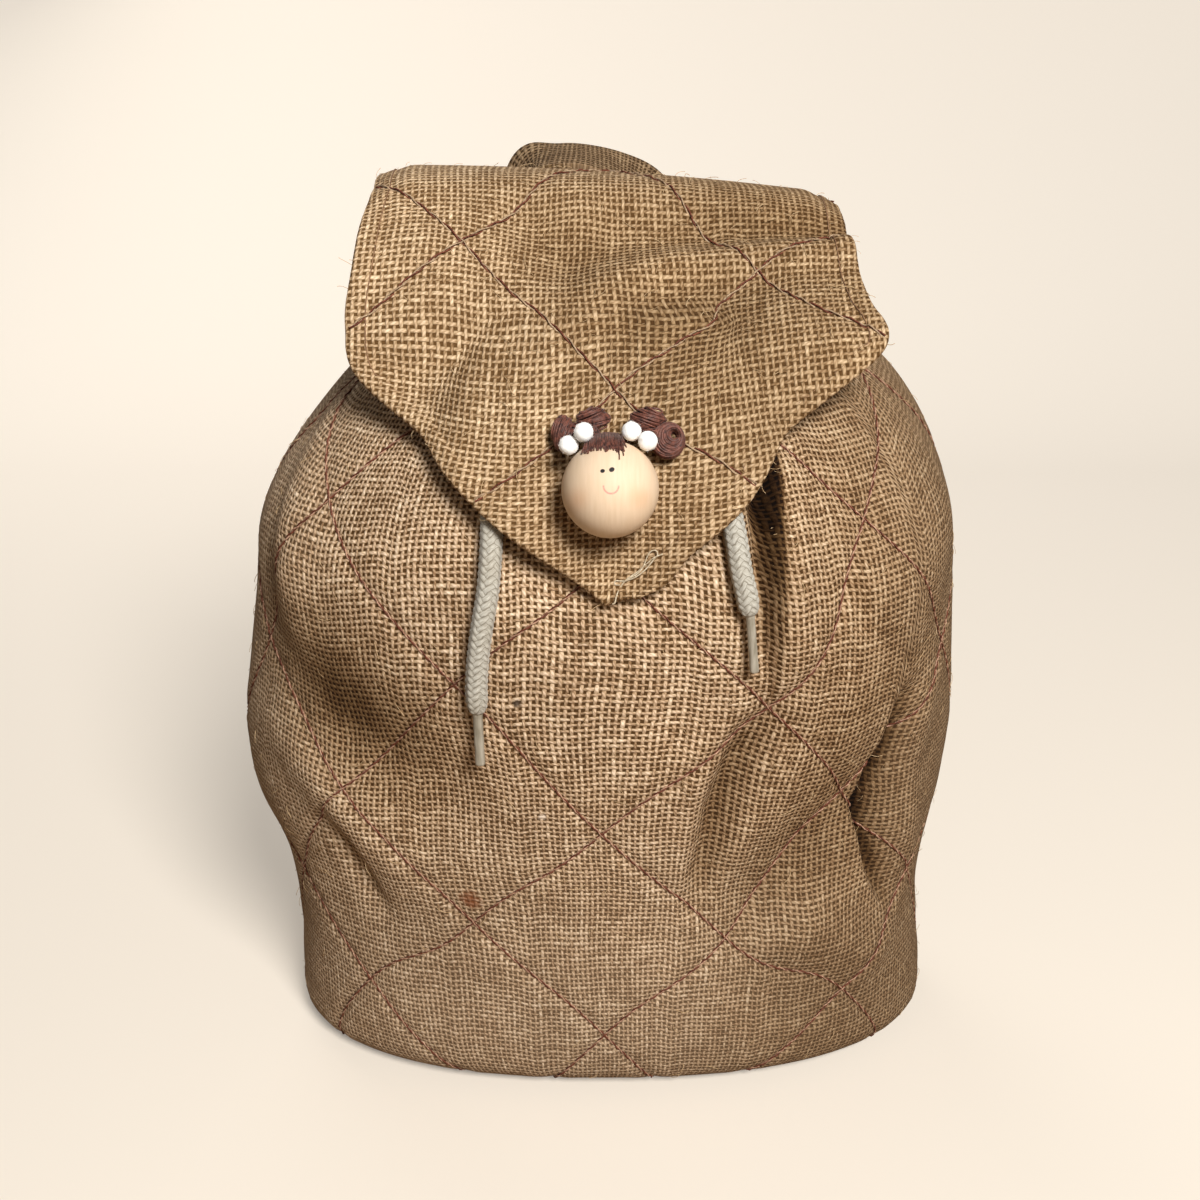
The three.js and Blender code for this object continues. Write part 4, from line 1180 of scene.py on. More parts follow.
# half width and half height of the quilted diamonds, and a place where two stitch lines cross
BAG_DIAMOND = (GIRTH / 16, 57.0)
BAG_CROSSING = (1.5, 144.0)
FLAP_DIAMOND = (58.0, 61.0)
FLAP_CROSSING = (4.0, 250.0)
# the flap's lattice rises to the right by this much for each millimetre
FLAP_SLANT = 0.086
# the bag is quilted from low to high, and the pull of the thread ends in the gathers
QUILT_LOW, QUILT_HIGH = 5, 328
PULL_FADES, PULL_ENDS = 318, 336
# where hand quilting strays from a regular lattice: place along and up, shift along and up
BAG_STRAY = [
    (0, 144, -1.5, -1), (0, 30, 1, 7), (0, 258, 0, 4),
    (-52, 87, -9, 8), (-52, 201, 0, 12),
    (-104, 144, -4, 12), (-104, 258, -12, 18), (-104, 30, -20, 23),
    (54, 87, 7, -3), (54, 201, 10, -2),
    (108, 144, 3, 7), (108, 258, -8, 14), (108, 30, 18, 19),
]
FLAP_STRAY = [
    (4, 250, 2, 1), (-54, 189, 1, 10), (62, 189, -1, 12), (55, 304, 0, -16), (-35, 293, 0, 0),
    (99, 150, 0, 30), (-86, 160, 0, 8), (4, 130, 0, 0), (120, 250, 0, 0),
]
# how far round such a place the quilting follows it
BAG_STRAY_REACH, FLAP_STRAY_REACH = 42, 36


def stray_shift(table, reach, x, y):
    """Shift of the quilting near a place, blended between the rows of its table."""
    weight, along, up = 0.08, 0.0, 0.0
    for row_x, row_y, shift_x, shift_y in table:
        near = np.exp(-((x - row_x) ** 2 + (y - row_y) ** 2) / reach**2)
        weight = weight + near
        along, up = along + near * shift_x, up + near * shift_y
    return along / weight, up / weight


def regular_place(table, reach, x, y):
    """The regular place that strays to the given one."""
    from_x, from_y = x, y
    for _ in range(5):
        along, up = stray_shift(table, reach, from_x, from_y)
        from_x, from_y = x - along, y - up
    return from_x, from_y


def around_bag(angle):
    """Distance round the bag from the middle of the front."""
    return np.interp(wrapped(angle), GIRTH_ANGLE, GIRTH_FAR)


def wrapped_girth(u):
    """The same distance round the bag, counted from the front to either side."""
    return (np.asarray(u) + GIRTH / 2) % GIRTH - GIRTH / 2


def angle_at(u):
    """Angle at a distance round the bag."""
    return np.interp(wrapped_girth(u), GIRTH_FAR, GIRTH_ANGLE)


def lattice_gap(u, v, diamond, crossing):
    """Distance to the nearest stitch line of a lattice of diamonds."""
    p, q = (u - crossing[0]) / diamond[0], (v - crossing[1]) / diamond[1]
    scale = diamond[0] * diamond[1] / math.hypot(*diamond)
    near = [np.abs((line + 1) % 2 - 1) for line in (p - q, p + q)]
    return np.minimum(*near) * scale


def bag_lattice_gap(angle, z):
    """Distance from the nearest line of the bag's quilting."""
    place = regular_place(BAG_STRAY, BAG_STRAY_REACH, around_bag(angle), z)
    return lattice_gap(*place, BAG_DIAMOND, BAG_CROSSING)


def pucker(gap):
    """The cloth dips at a stitch line and swells beside it."""
    return -1.0 * np.exp(-((gap / 2.4) ** 2)) + 0.25 * np.exp(-(((gap - 6.5) / 3) ** 2))


def cloth_radius(angle, z):
    """Outer skin of the bag with the pull of its stitch lines."""
    fade = 1 - smoothstep(z, PULL_FADES, PULL_ENDS)
    return body_radius(angle, z) + fade * pucker(bag_lattice_gap(angle, z))


def bag_skin(line, off):
    """Points on the bag's cloth for places given as angle and height."""
    return off_body(cloth_radius, line[:, 0], line[:, 1], off)


def lattice_lines(counts, up, diamond, crossing):
    """How far along each regular line of the lattice is at the given places up the cloth."""
    for way in (1, -1):
        for k in counts:
            yield crossing[0] + diamond[0] * (2 * k + way * (up - crossing[1]) / diamond[1])


def bag_stitch_lines():
    """Lines as angle and height, cut where they pass the middle of the back."""
    lines = []
    v = np.linspace(-20, 335, 300)
    for regular in lattice_lines(range(8), v, BAG_DIAMOND, BAG_CROSSING):
        u = wrapped_girth(regular)
        shift, rise = stray_shift(BAG_STRAY, BAG_STRAY_REACH, u, v)
        u, z = u + shift, v + rise
        breaks = np.flatnonzero(np.abs(np.diff(u)) > GIRTH / 2) + 1
        for part_u, part_z in zip(np.split(u, breaks), np.split(z, breaks)):
            kept = (part_z > QUILT_LOW) & (part_z < QUILT_HIGH)
            if kept.sum() > 3:
                lines.append(np.stack([angle_at(part_u[kept]), part_z[kept]], axis=1))
    return lines


def stitched(points_at, line, step=1.25, stitch=3.6, low=0.15, high=0.5):
    """The thread's points on the cloth, low at the ends of each stitch and high in its middle."""
    flat = points_at(line, 0.0)
    far = arc_length(flat, 0)
    at = np.linspace(0, far[-1], max(int(far[-1] / step), 3) + 1)
    even = np.stack([np.interp(at, far, line[:, k]) for k in range(2)], axis=1)
    off = low + (high - low) * np.abs(np.sin(np.pi * at / stitch)) ** 0.7
    return points_at(even, off)


def make_bag_stitches():
    """The quilting all round the bag, in thread of two plies."""
    lines = [stitched(bag_skin, line) for line in bag_stitch_lines()]
    twist = {"width": 0.72, "wind": 0.34, "turns": 130.0}
    for piece in plied("bag_quilting", lines, (THREAD_BROWN, THREAD_ROSE), **twist):
        on_root(piece, "jute")


# ---------------------------------------------------------------- bag


def levelled(values, reach):
    """Each column smoothed up and down, so that the weave's threads don't jump between rows."""
    kernel = np.hanning(2 * reach + 3)[1:-1]
    kernel = kernel / kernel.sum()
    padded = np.pad(values, ((reach, reach), (0, 0)), mode="edge")
    return np.stack([np.convolve(column, kernel, "valid") for column in padded.T], axis=1)


# angles of the bag's two sharpest folds
SLIT_ANGLE, SIDE_FOLD_ANGLE = 28.5, 55.5


def crowded_columns(count):
    """Angles round the bag, closer together on the front and closest at its two sharpest folds."""
    fine = np.linspace(-180, 180, 3601)
    crowd = 1 + 1.4 * np.exp(-((fine / 75) ** 4))
    crowd = crowd + 3 * np.exp(-(((fine - SLIT_ANGLE) / 3) ** 2))
    crowd = crowd + 1.6 * np.exp(-(((fine - SIDE_FOLD_ANGLE) / 4) ** 2))
    place = np.concatenate([[0], np.cumsum((crowd[1:] + crowd[:-1]) / 2)])
    return np.interp(np.arange(count + 1) / count * place[-1], place, fine)


def make_bag():
    """The bag's cloth in one piece, from its lower rim to the gathered mouth."""
    angle = crowded_columns(BODY_COLUMNS)
    low_rows, high_rows = [0, 1, 2.2, 3.6, 5.4], [BODY_HEIGHT - 2.2, BODY_HEIGHT - 0.8, BODY_HEIGHT]
    z = np.concatenate([low_rows, np.linspace(7.8, BODY_HEIGHT - 4, BODY_ROWS - 7), high_rows])
    height, across = np.meshgrid(z, angle, indexing="ij")
    radius = cloth_radius(across, height)
    inset = BODY_WALL * lean_factor(across, height, WALL_LEAN)
    rim = 0.5 * BODY_WALL * (1 - round_share((BODY_HEIGHT - height) / 1.6))
    outer = polar(across, radius - rim, height)
    inner = polar(across, radius - inset + rim, height)

    # the weave keeps its width where the cloth goes in and out of a fold on the front
    u = around_bag(angle)
    u[0], u[-1] = -GIRTH / 2, GIRTH / 2
    folded = arc_length(outer, 1)
    plain = arc_length(polar(across, plain_radius(across, height), height), 1)
    middle = int(np.argmin(np.abs(angle)))
    taken = (folded - folded[:, middle : middle + 1]) - (plain - plain[:, middle : middle + 1])
    taken = levelled(taken, 9) * (1 - smoothstep(np.abs(angle), 75, 150)) * 0.6
    uv = cloth_uv(u + taken, arc_length(outer, 0))

    # painted shade of the creases: deeper where folds go in, less where folds stand out
    flat = np.radians(across) * FOLD_RADIUS
    hollow = fold_height(BODY_CREASE_SHADE_FLAT, flat, height)
    hollow = (hollow - fold_height(BODY_FOLDS_FLAT, flat, height))[:, :-1] * MM
    bag = sheet_mesh("bag_cloth", outer[:, :-1], inner[:, :-1], uv, True, BAG_CLOTH, hollow)
    on_root(bag, "jute", "body")
    return bag


def make_base():
    """Bottom panel, flush with the lower rim of the bag."""
    columns, rings = 160, 24
    angle = np.linspace(-180, 180, columns + 1)[:-1]
    wall = BODY_WALL * lean_factor(angle, np.zeros(columns), WALL_LEAN)
    edge = body_radius(angle, 0.0) - wall - 0.7
    share = np.linspace(0, 1, rings + 1)[1:, None]
    disc = np.concatenate([np.zeros((1, 3)), polar(angle, edge * share, 0.0).reshape(-1, 3)])
    points = np.concatenate([disc + (0, 0, BASE_THICKNESS), disc])
    i = np.arange(columns)
    j = (i + 1) % columns
    faces = []
    for centre, under in ((0, False), (len(disc), True)):
        fan = np.stack([np.full(columns, centre), centre + 1 + i, centre + 1 + j], axis=1)
        quads, _ = grid_faces(columns, rings - 1, True, centre + 1, not under)
        faces += (fan[:, ::-1] if under else fan).tolist() + quads.tolist()
    last = 1 + (rings - 1) * columns
    low = len(disc) + last
    faces += np.stack([last + i, low + i, low + j, last + j], axis=1).tolist()
    uv = [points[corner][:2] for face in faces for corner in face]
    base = mesh_piece("bottom_panel", points, faces, uv, BAG_CLOTH)
    on_root(base, "jute", "base")


# ---------------------------------------------------------------- flap

# distances from a side hem of the flap's first columns
FLAP_EDGE_STEPS = np.array([0, 0.25, 0.7, 1.4, 2.4, 4, 6, 7.6, 8.6, 9.6, 11.5])


def flap_sides(s):
    """x of the left and right edges."""
    return table_at(FLAP_SECTIONS, s)[:2]


def flap_half(s):
    """Half the flap's width."""
    left, right = flap_sides(s)
    return (right - left) / 2


def flap_x(a, s):
    """x of a place across the flap, from -1 to 1."""
    left, right = flap_sides(s)
    return (left + right) / 2 + a * (right - left) / 2


def flap_a(x, s):
    """Place across the flap, from -1 to 1, of an x."""
    left, right = flap_sides(s)
    return (x - (left + right) / 2) / ((right - left) / 2)


def flap_columns(s, middle=100):
    """Positions across the flap, close together at both hems."""
    half = flap_half(s)[:, None]
    left = -1 + np.minimum(FLAP_EDGE_STEPS / half, 0.8 * FLAP_EDGE_STEPS / FLAP_EDGE_STEPS[-1])
    inside = left[:, -1:] + (-2 * left[:, -1:]) * np.linspace(0, 1, middle + 1)[None, 1:-1]
    return np.concatenate([left, inside, -left[:, ::-1]], axis=1)


def flap_thickness(edge):
    """Thickness of the flap at a distance from its edge: a turned hem, then a single cloth."""
    hem = 1 - smoothstep(edge, FLAP_HEM_WIDTH - 1.6, FLAP_HEM_WIDTH + 0.4)
    return FLAP_THICKNESS + (FLAP_HEM_THICKNESS - FLAP_THICKNESS) * hem


def flap_pucker(x, s, edge):
    """How much the quilting and the hem's seam raise or lower the cloth."""
    place = regular_place(FLAP_STRAY, FLAP_STRAY_REACH, x, s - FLAP_SLANT * (x - FLAP_CROSSING[0]))
    gap = lattice_gap(*place, FLAP_DIAMOND, FLAP_CROSSING)
    seam = np.exp(-(((edge - FLAP_HEM_WIDTH + 1) / 1.2) ** 2))
    return 0.6 * pucker(gap) - 0.35 * seam


def make_flap():
    """The flap's one cloth, thicker at its turned hems and rolled at its edges."""
    low_rows, high_rows = [0, 0.6, 1.6, 3], [FLAP_LENGTH - 0.5, FLAP_LENGTH]
    s = np.concatenate([low_rows, np.linspace(5, FLAP_LENGTH - 1.2, 196), high_rows])
    a = flap_columns(s)
    along = np.broadcast_to(s[:, None], a.shape)
    edge = (1 - np.abs(a)) * flap_half(s)[:, None] * np.where(along > FLAP_POINT, 0.75, 1)
    edge = np.minimum(np.minimum(edge, along), FLAP_LENGTH - along)
    x = flap_x(a, along)
    thick = flap_thickness(edge)
    roll = np.maximum(round_share(edge / 1.7), math.sqrt(0.02))
    wave = 0.1 * np.sin(along * 0.9 + 2 * np.sin(along * 0.21)) * np.exp(-edge / 3)
    top = thick * (0.5 + 0.5 * roll) + flap_pucker(x, along, edge) + wave
    low = thick * (0.5 - 0.5 * roll)
    under, out = flap_under(a, along), flap_normal(a, along)
    outer = under + out * top[..., None]
    inner = under + out * low[..., None]
    # painted shade of the flap's hollows, less where its folds stand out
    hollow = (fold_height(FLAP_CREASE_SHADE, x, along) - fold_height(FLAP_FOLDS, x, along)) * MM
    flap = sheet_mesh("flap_cloth", inner, outer, cloth_uv(x, along), False, FLAP_CLOTH, hollow)
    on_root(flap, "jute", "flap")
    return flap


def flap_skin(line, off):
    """Points on the flap's outer side for places given as x and along the cloth."""
    x, s = line[:, 0], line[:, 1]
    a = flap_a(x, s)
    edge = np.minimum((1 - np.abs(a)) * flap_half(s), s)
    height = flap_thickness(edge) + flap_pucker(x, s, edge) + off
    return flap_under(a, s) + flap_normal(a, s) * np.asarray(height)[..., None]


def flap_stitch_lines():
    """Lines as x and place along the cloth, kept off the edges."""
    lines = []
    v = np.linspace(0, FLAP_LENGTH, 300)
    for regular in lattice_lines(range(-3, 4), v, FLAP_DIAMOND, FLAP_CROSSING):
        shift, rise = stray_shift(FLAP_STRAY, FLAP_STRAY_REACH, regular, v)
        x = regular + shift
        s = v + rise + FLAP_SLANT * (x - FLAP_CROSSING[0])
        left, right = flap_sides(np.clip(s, 0, FLAP_LENGTH))
        inside = (x > left + 1.5) & (x < right - 1.5) & (s > 2) & (s < FLAP_LENGTH - 3)
        if inside.sum() > 6:
            lines.append(np.stack([x[inside], s[inside]], axis=1))
    return lines


def hem_line(inset, side):
    """The hem's seam on one side, as x and place along the cloth."""
    s = np.linspace(6, FLAP_LENGTH - 12, 240)
    left, right = flap_sides(s)
    inset = inset * np.where(s > FLAP_POINT, 1.34, 1)
    return np.stack([left + inset if side < 0 else right - inset, s], axis=1)


def make_flap_stitches():
    """The flap's slanted quilting, and the seams of its two hems."""
    long_stitch = {"step": 1.2, "stitch": 4.2, "low": 0.1, "high": 0.45}
    lines = [stitched(flap_skin, line, **long_stitch) for line in flap_stitch_lines()]
    twist = {"width": 0.72, "wind": 0.5, "turns": 66.0}
    for piece in plied("flap_quilting", lines, (THREAD_BROWN, THREAD_SAND), **twist):
        on_root(piece, "jute")
    hems = [hem_line(FLAP_HEM_WIDTH - 1, side) for side in (-1, 1)]
    short_stitch = {"step": 1.0, "stitch": 3.4, "low": -0.2, "high": 0.25}
    hems = [stitched(flap_skin, line, **short_stitch) for line in hems]
    for piece in plied("flap_hem_stitch", hems, (THREAD_HEM,), 0.55):
        on_root(piece, "jute")


bag = make_bag()
make_base()
flap = make_flap()
make_bag_stitches()
make_flap_stitches()

# ---------------------------------------------------------------- straps and loop


STRAP_COLUMNS = 12
LOOP_COLUMNS = 8


def strap_grid(side, off, rows=120):
    """Points of a strap's face held off the bag, with their places across its width."""
    t = np.linspace(0, 1, rows + 1)
    angle, z, slack = table_at(STRAP_SECTIONS, t)
    ahead = table_at(STRAP_SECTIONS, np.minimum(t + 0.01, 1))
    behind = table_at(STRAP_SECTIONS, np.maximum(t - 0.01, 0))
    r = body_radius(side * angle, z)
    run = unit(np.stack([np.radians(ahead[0] - behind[0]) * r, ahead[1] - behind[1]], axis=-1))
    across = -side * (np.arange(STRAP_COLUMNS + 1) / STRAP_COLUMNS - 0.5) * STRAP_WIDTH
    at_angle = side * (angle[:, None] - np.degrees(across * run[:, 1:] / r[:, None]))
    at_z = z[:, None] + across * run[:, :1]
    return off_body(body_radius, at_angle, at_z, off + slack[:, None]), across


def loop_grid(off, rows=150):
    """Points of one face of the loop, with their places across its width."""
    t = np.linspace(0, 1, rows + 1)
    x, y, z, turn, dip = table_at(LOOP_SECTIONS, t)
    ahead = np.stack(table_at(LOOP_SECTIONS, np.minimum(t + 0.01, 1))[:3], axis=-1)
    behind = np.stack(table_at(LOOP_SECTIONS, np.maximum(t - 0.01, 0))[:3], axis=-1)
    along = unit(ahead - behind)
    wide = np.stack([np.cos(np.radians(turn)), -np.sin(np.radians(turn)), -dip], axis=-1)
    wide = unit(wide - along * (wide * along).sum(axis=-1, keepdims=True))
    face = np.cross(along, wide)
    across = (np.arange(LOOP_COLUMNS + 1) / LOOP_COLUMNS - 0.5) * LOOP_WIDTH
    centre = np.stack([x, y, z], axis=-1)
    return centre[:, None] + wide[:, None] * across[:, None] + face[:, None] * off, across


def make_band(name, node, outer, inner, across, edge):
    """A sewn band with soft edges, hung on the bag."""
    length = arc_length(outer[:, outer.shape[1] // 2], 0)
    band = sheet_mesh(name, outer, inner, cloth_uv(across, length[:, None]), False, TRIM_CLOTH)
    bevel = band.modifiers.new("soft edge", "BEVEL")
    bevel.width = edge * MM
    bevel.segments = 2
    bevel.limit_method = "ANGLE"
    on_root(band, "jute_trim", node)


def make_strap(name, side, node):
    """A shoulder strap with stitches near both edges; side is -1 on the left and 1 on the right."""
    outer, across = strap_grid(side, STRAP_THICKNESS + STRAP_GAP)
    inner, _ = strap_grid(side, STRAP_GAP)
    make_band(name, node, outer, inner, across, edge=0.8)
    lines = []
    for inset in (3.0, STRAP_WIDTH - 3.0):
        share = inset / STRAP_WIDTH * STRAP_COLUMNS
        k = int(share)
        edge = outer[:, k] * (1 - share + k) + outer[:, k + 1] * (share - k)
        lines.append(resample(edge + unit(outer[:, k] - inner[:, k]) * 0.15, 1.0))
    for piece in plied(name + "_stitch", lines, (THREAD_BROWN,), 0.7):
        on_root(piece, "jute_trim")


def make_loop():
    """The loop at the top of the back, to carry or hang the bag by."""
    outer, across = loop_grid(-LOOP_THICKNESS / 2)
    inner, _ = loop_grid(LOOP_THICKNESS / 2)
    make_band("carry_loop", "haul_loop", outer, inner, across, edge=0.9)


make_strap("shoulder_strap_left", -1, "strap_left")
make_strap("shoulder_strap_right", 1, "strap_right")
make_loop()

# ---------------------------------------------------------------- doll-head button

# where the button sits, across the flap and along its cloth
BUTTON_SEAT = (-0.02, 292.0)
BUTTON_GAP = 0.7


def button_frame():
    """The button's axes and the middle of its ball."""
    out = flap_normal(*BUTTON_SEAT)
    right = unit(np.array([1.0, 0, 0]) - out * out[0])
    up = unit(np.cross(out, right))
    seat = flap_under(*BUTTON_SEAT) + out * (FLAP_THICKNESS + HEAD_FLAT + BUTTON_GAP)
    return np.stack([right, up, out]), seat


# rows of the axes: right, up and out of the flap
BUTTON_AXES, BUTTON_PLACE = button_frame()


def on_button(points):
    """Points given as right, up and out of the ball's middle."""
    return np.asarray(points, float) @ BUTTON_AXES + BUTTON_PLACE


def round_piece(name, profile, centre, around, material, flat_uv=False, uneven=None):
    """Piece turned about the button's axis, from radius and depth pairs, back to front."""
    turn = np.linspace(0, 2 * math.pi, around, endpoint=False)
    grid = np.array([[(r * math.cos(t), r * math.sin(t), z) for t in turn] for r, z in profile])
    if uneven is not None:
        grid = grid * uneven(grid)[..., None]
    grid = grid + np.asarray(centre)
    faces, _ = grid_faces(around, len(profile) - 1, True)
    flat = grid.reshape(-1, 3)
    uv = flat[faces.reshape(-1)][:, :2] if flat_uv else None
    return mesh_piece(name, on_button(flat), faces, uv, material)


def make_head():
    """The painted wooden ball, flat where it meets the flap."""
    start = -math.asin(HEAD_FLAT / HEAD_RADIUS)
    profile = [(0.0, -HEAD_FLAT), (HEAD_RADIUS * math.cos(start) * 0.6, -HEAD_FLAT)]
    for turn in np.linspace(start, math.pi / 2, 48):
        profile.append((max(HEAD_RADIUS * math.cos(turn), 0.0), HEAD_RADIUS * math.sin(turn)))
    head = round_piece("doll_head", profile, (0, 0, 0), 96, PAINTED_WOOD, True)
    on_root(head, "wood", "head_ball")


BEADS = {
    "bead_left_inner": (-9.2, 18.9, 5.2),
    "bead_left_outer": (-14.4, 15.2, 1.4),
    "bead_right_inner": (7.4, 19.8, 2.8),
    "bead_right_outer": (12.8, 15.8, 6.2),
}


def make_beads():
    """Cotton balls that tie the hair, each a little out of round and fluffy."""
    for k, (node, centre) in enumerate(BEADS.items()):
        turns = np.linspace(0, math.pi, 19)
        profile = [(BEAD_RADIUS * math.sin(t), -BEAD_RADIUS * math.cos(t)) for t in turns]

        def uneven(grid, k=k):
            x, y, z = np.moveaxis(grid, -1, 0)
            waves = np.sin(1.3 * x + 2.1 * y + k) + np.cos(1.1 * z - 0.8 * x + 2 * k)
            return 1 + 0.015 * waves

        name = node.replace("bead", "cotton_ball")
        ball = on_root(round_piece(name, profile, centre, 28, COTTON, False, uneven), "beads", node)
        sizes = {"density": 1.6e6, "length": 0.6, "thick": 0.05, "lift": 0.3, "seed": k + 5}
        on_root(FLUFF.grow(name + "_fluff", ball, COTTON_FLUFF, **sizes), "beads")


# floss wound round an oval core: centre, half sizes, axis and loops in a layer
LEFT_BUNS = [
    ((-16.3, 21.6, -10.4), (3.9, 6.5, 3.6), (0.85, -0.35, 0.25), 19),
    ((-5.8, 26.8, -9.8), (6.0, 3.9, 3.6), (-0.45, 0.85, 0.3), 18),
]
RIGHT_BUNS = [((13.4, 26.6, -8.8), (6.3, 3.9, 3.7), (0.5, 0.8, 0.3), 19)]
BUN_LAYERS = (1.0, 0.86)
# floss coiled flat: eye, centre of the outer turn, its half sizes, half depth of the coil, depth
# of its middle, and turns
RIGHT_COILS = [
    ((23.0, 20.9), (20.6, 18.9), (5.9, 6.5), 3.4, -9.6, 34),
    ((22.6, 20.6), (20.4, 19.0), (5.4, 5.9), 2.0, -9.9, 24),
]
COIL_EYE = 1.3
# floss drawn from the crown to a bun: path, half width, strands and twist
LEFT_HANKS = [
    (
        [(-4.4, 17.6, -1.5), (-7.5, 20.4, -5), (-10.5, 22.5, -8.6), (-13.5, 23.5, -9.6)],
        2.1, 16, 2.0,
    ),
    ([(-4, 18, -1.8), (-5.6, 21, -5), (-6.5, 24, -8.6)], 1.9, 14, 1.5),
]
RIGHT_HANKS = [
    ([(5, 18, -1.5), (9, 21.5, -5), (12.5, 24, -8)], 2.0, 15, 1.6),
    ([(10, 19.6, -5), (14, 21.5, -8), (17.5, 22, -9)], 1.8, 14, 1.4),
]
# strands of a hank are laid out like seeds in a flower head
GOLDEN_ANGLE = 2.39996
FRINGE_STRANDS = 150
FRINGE_LEFT, FRINGE_WIDTH = -9.6, 14.2
LONG_STRANDS = (133, 141)
FLOSS_WIDTH, FRINGE_FLOSS_WIDTH = 0.78, 0.46


def hank(rng, path, size, count, twist):
    """Strands of floss that run along a path as one twisted bundle, in the button's frame."""
    line = resample(path, 0.9)
    side, other = tube_frames(line)
    share = np.linspace(0, 1, len(line))
    strands = []
    for k in range(count):
        reach = size * math.sqrt((k + 0.5) / count)
        turn = (k * GOLDEN_ANGLE + rng.uniform(-0.2, 0.2) + twist * share)[:, None]
        strands.append(line + np.cos(turn) * reach * side + np.sin(turn) * reach * other)
    return strands


def wound(rng, centre, half, axis, count):
    """Loops of floss across the axis of an oval core, a little crossed."""
    axis = unit(np.array(axis, float))
    first = unit(np.cross(axis, (0.31, 0.17, 0.94)))
    second = np.cross(axis, first)
    strands = []
    for layer in BUN_LAYERS:
        for k in range(count):
            place = -0.94 + 1.88 * (k + rng.uniform(0.1, 0.9)) / count
            ring = math.sqrt(1 - place**2) * layer * rng.uniform(0.95, 1.04)
            lean, slant = rng.uniform(-0.16, 0.16, 2)
            turn = np.linspace(0, 2 * math.pi, 30) + rng.uniform(0, 6)
            along = place * layer + lean * np.cos(turn) + slant * np.sin(turn)
            circle = np.cos(turn)[:, None] * first + np.sin(turn)[:, None] * second
            strands.append((circle * ring + along[:, None] * axis * 0.97) * half + centre)
    return strands


def coiled(rng, eye, centre, sizes, depth, middle, count):
    """Turns of floss round an eye that sits off the coil's centre."""
    strands = []
    for k in range(count):
        share = (k + rng.uniform(0.1, 0.9)) / count
        turn = np.linspace(0, 2 * math.pi, 32) + rng.uniform(0, 6)
        place = np.array(eye) + (np.array(centre) - np.array(eye)) * share
        wide, high = COIL_EYE + (np.array(sizes) - COIL_EYE) * share
        x = place[0] + wide * np.cos(turn) + rng.uniform(-0.2, 0.2)
        y = place[1] + high * np.sin(turn) + rng.uniform(-0.2, 0.2)
        dome = math.sqrt(max(1 - (2 * share - 1) ** 2, 0.0))
        top = middle + depth * dome + rng.uniform(-0.3, 0.3)
        sway = 0.35 * np.sin(turn + rng.uniform(0, 6))
        strands.append(np.stack([x, y, top + sway], axis=1))
    return strands


def bunch(rng, buns, coils, hanks):
    """All the floss on one side of the head."""
    strands = []
    for make, rows in ((wound, buns), (coiled, coils), (hank, hanks)):
        for row in rows:
            strands += make(rng, *row)
    return strands


def fringe(rng):
    """Cut ends that fall from the crown over the brow, each lying on the ball."""
    strands = []
    for k in range(FRINGE_STRANDS):
        x = FRINGE_LEFT + FRINGE_WIDTH * (k / (FRINGE_STRANDS - 1)) + rng.uniform(-0.25, 0.25)
        top = 20.3 - 0.02 * (x + 1) ** 2 + rng.uniform(-0.5, 0.3)
        longer = rng.uniform(1.5, 4.5) if k in LONG_STRANDS else 0.0
        low = 12.4 - 0.012 * (x + 2) ** 2 + 0.44 * math.sin(x * 1.7)
        low += rng.uniform(-1.4, 1.2) - longer
        bend = rng.uniform(-0.9, 0.9)
        layer = rng.uniform(0.3, 1.5)
        points = []
        for t in np.linspace(0, 1, 8):
            y = top + (low - top) * t
            bent = x * (0.86 + 0.14 * t) + bend * t * t
            over = HEAD_RADIUS + 0.3 + layer * math.sin(math.pi * min(t + 0.15, 1)) ** 0.7
            depth = over**2 - bent**2 - y**2
            points.append((bent, y, math.sqrt(depth) if depth > 9 else 3.0 - (9 - depth) * 0.05))
        strands.append(resample(points, 0.9))
    return strands


def make_hair():
    """Floss tied up on both sides, and the fringe."""
    rng = np.random.default_rng(11)
    for side, strands, width in (
        ("left", bunch(rng, LEFT_BUNS, [], LEFT_HANKS), FLOSS_WIDTH),
        ("right", bunch(rng, RIGHT_BUNS, RIGHT_COILS, RIGHT_HANKS), FLOSS_WIDTH),
        ("fringe", fringe(rng), FRINGE_FLOSS_WIDTH),
    ):
        lines = [on_button(strand) for strand in strands]
        (piece,) = plied(f"hair_floss_{side}", lines, (HAIR_FLOSS,), width)
        on_root(piece, "hair", f"hair_{side}")


make_head()
make_beads()
make_hair()

# ---------------------------------------------------------------- loose thread and fibres

# x and place along the flap of the two knotted ends, the first with its loop
LOOSE_THREAD = [
    [
        (4.4, 335.6), (5.9, 331.9), (6.9, 328.9), (8.2, 326.4), (11, 323.8), (13.5, 322.1),
        (15.4, 319.1), (16.4, 315.7), (17.9, 313.2), (19.5, 312.9), (20, 314.6), (18.6, 316.8),
        (16, 320.6), (12.9, 323.4), (8.5, 325.4), (5.3, 325.4), (4.9, 326.8), (7.2, 327),
    ],
    [
        (21.6, 314.4), (18.8, 315.9), (16.2, 318.6), (13.4, 321.4),
        (9.6, 324.6), (7.6, 327.6), (6.4, 331), (5, 334.8),
    ],
]


def make_loose_thread():
    """The tied-off end of thread that was left on the flap."""
    lines = []
    for path in LOOSE_THREAD:
        flat = resample([(x, s, 0) for x, s in path], 1.0)[:, :2]
        lines.append(flap_skin(flat, 1.1 + 0.4 * np.sin(np.arange(len(flat)) * 0.5)))
    (piece,) = plied("loose_thread", lines, (THREAD_NATURAL,), 0.5)
    on_root(piece, "jute")


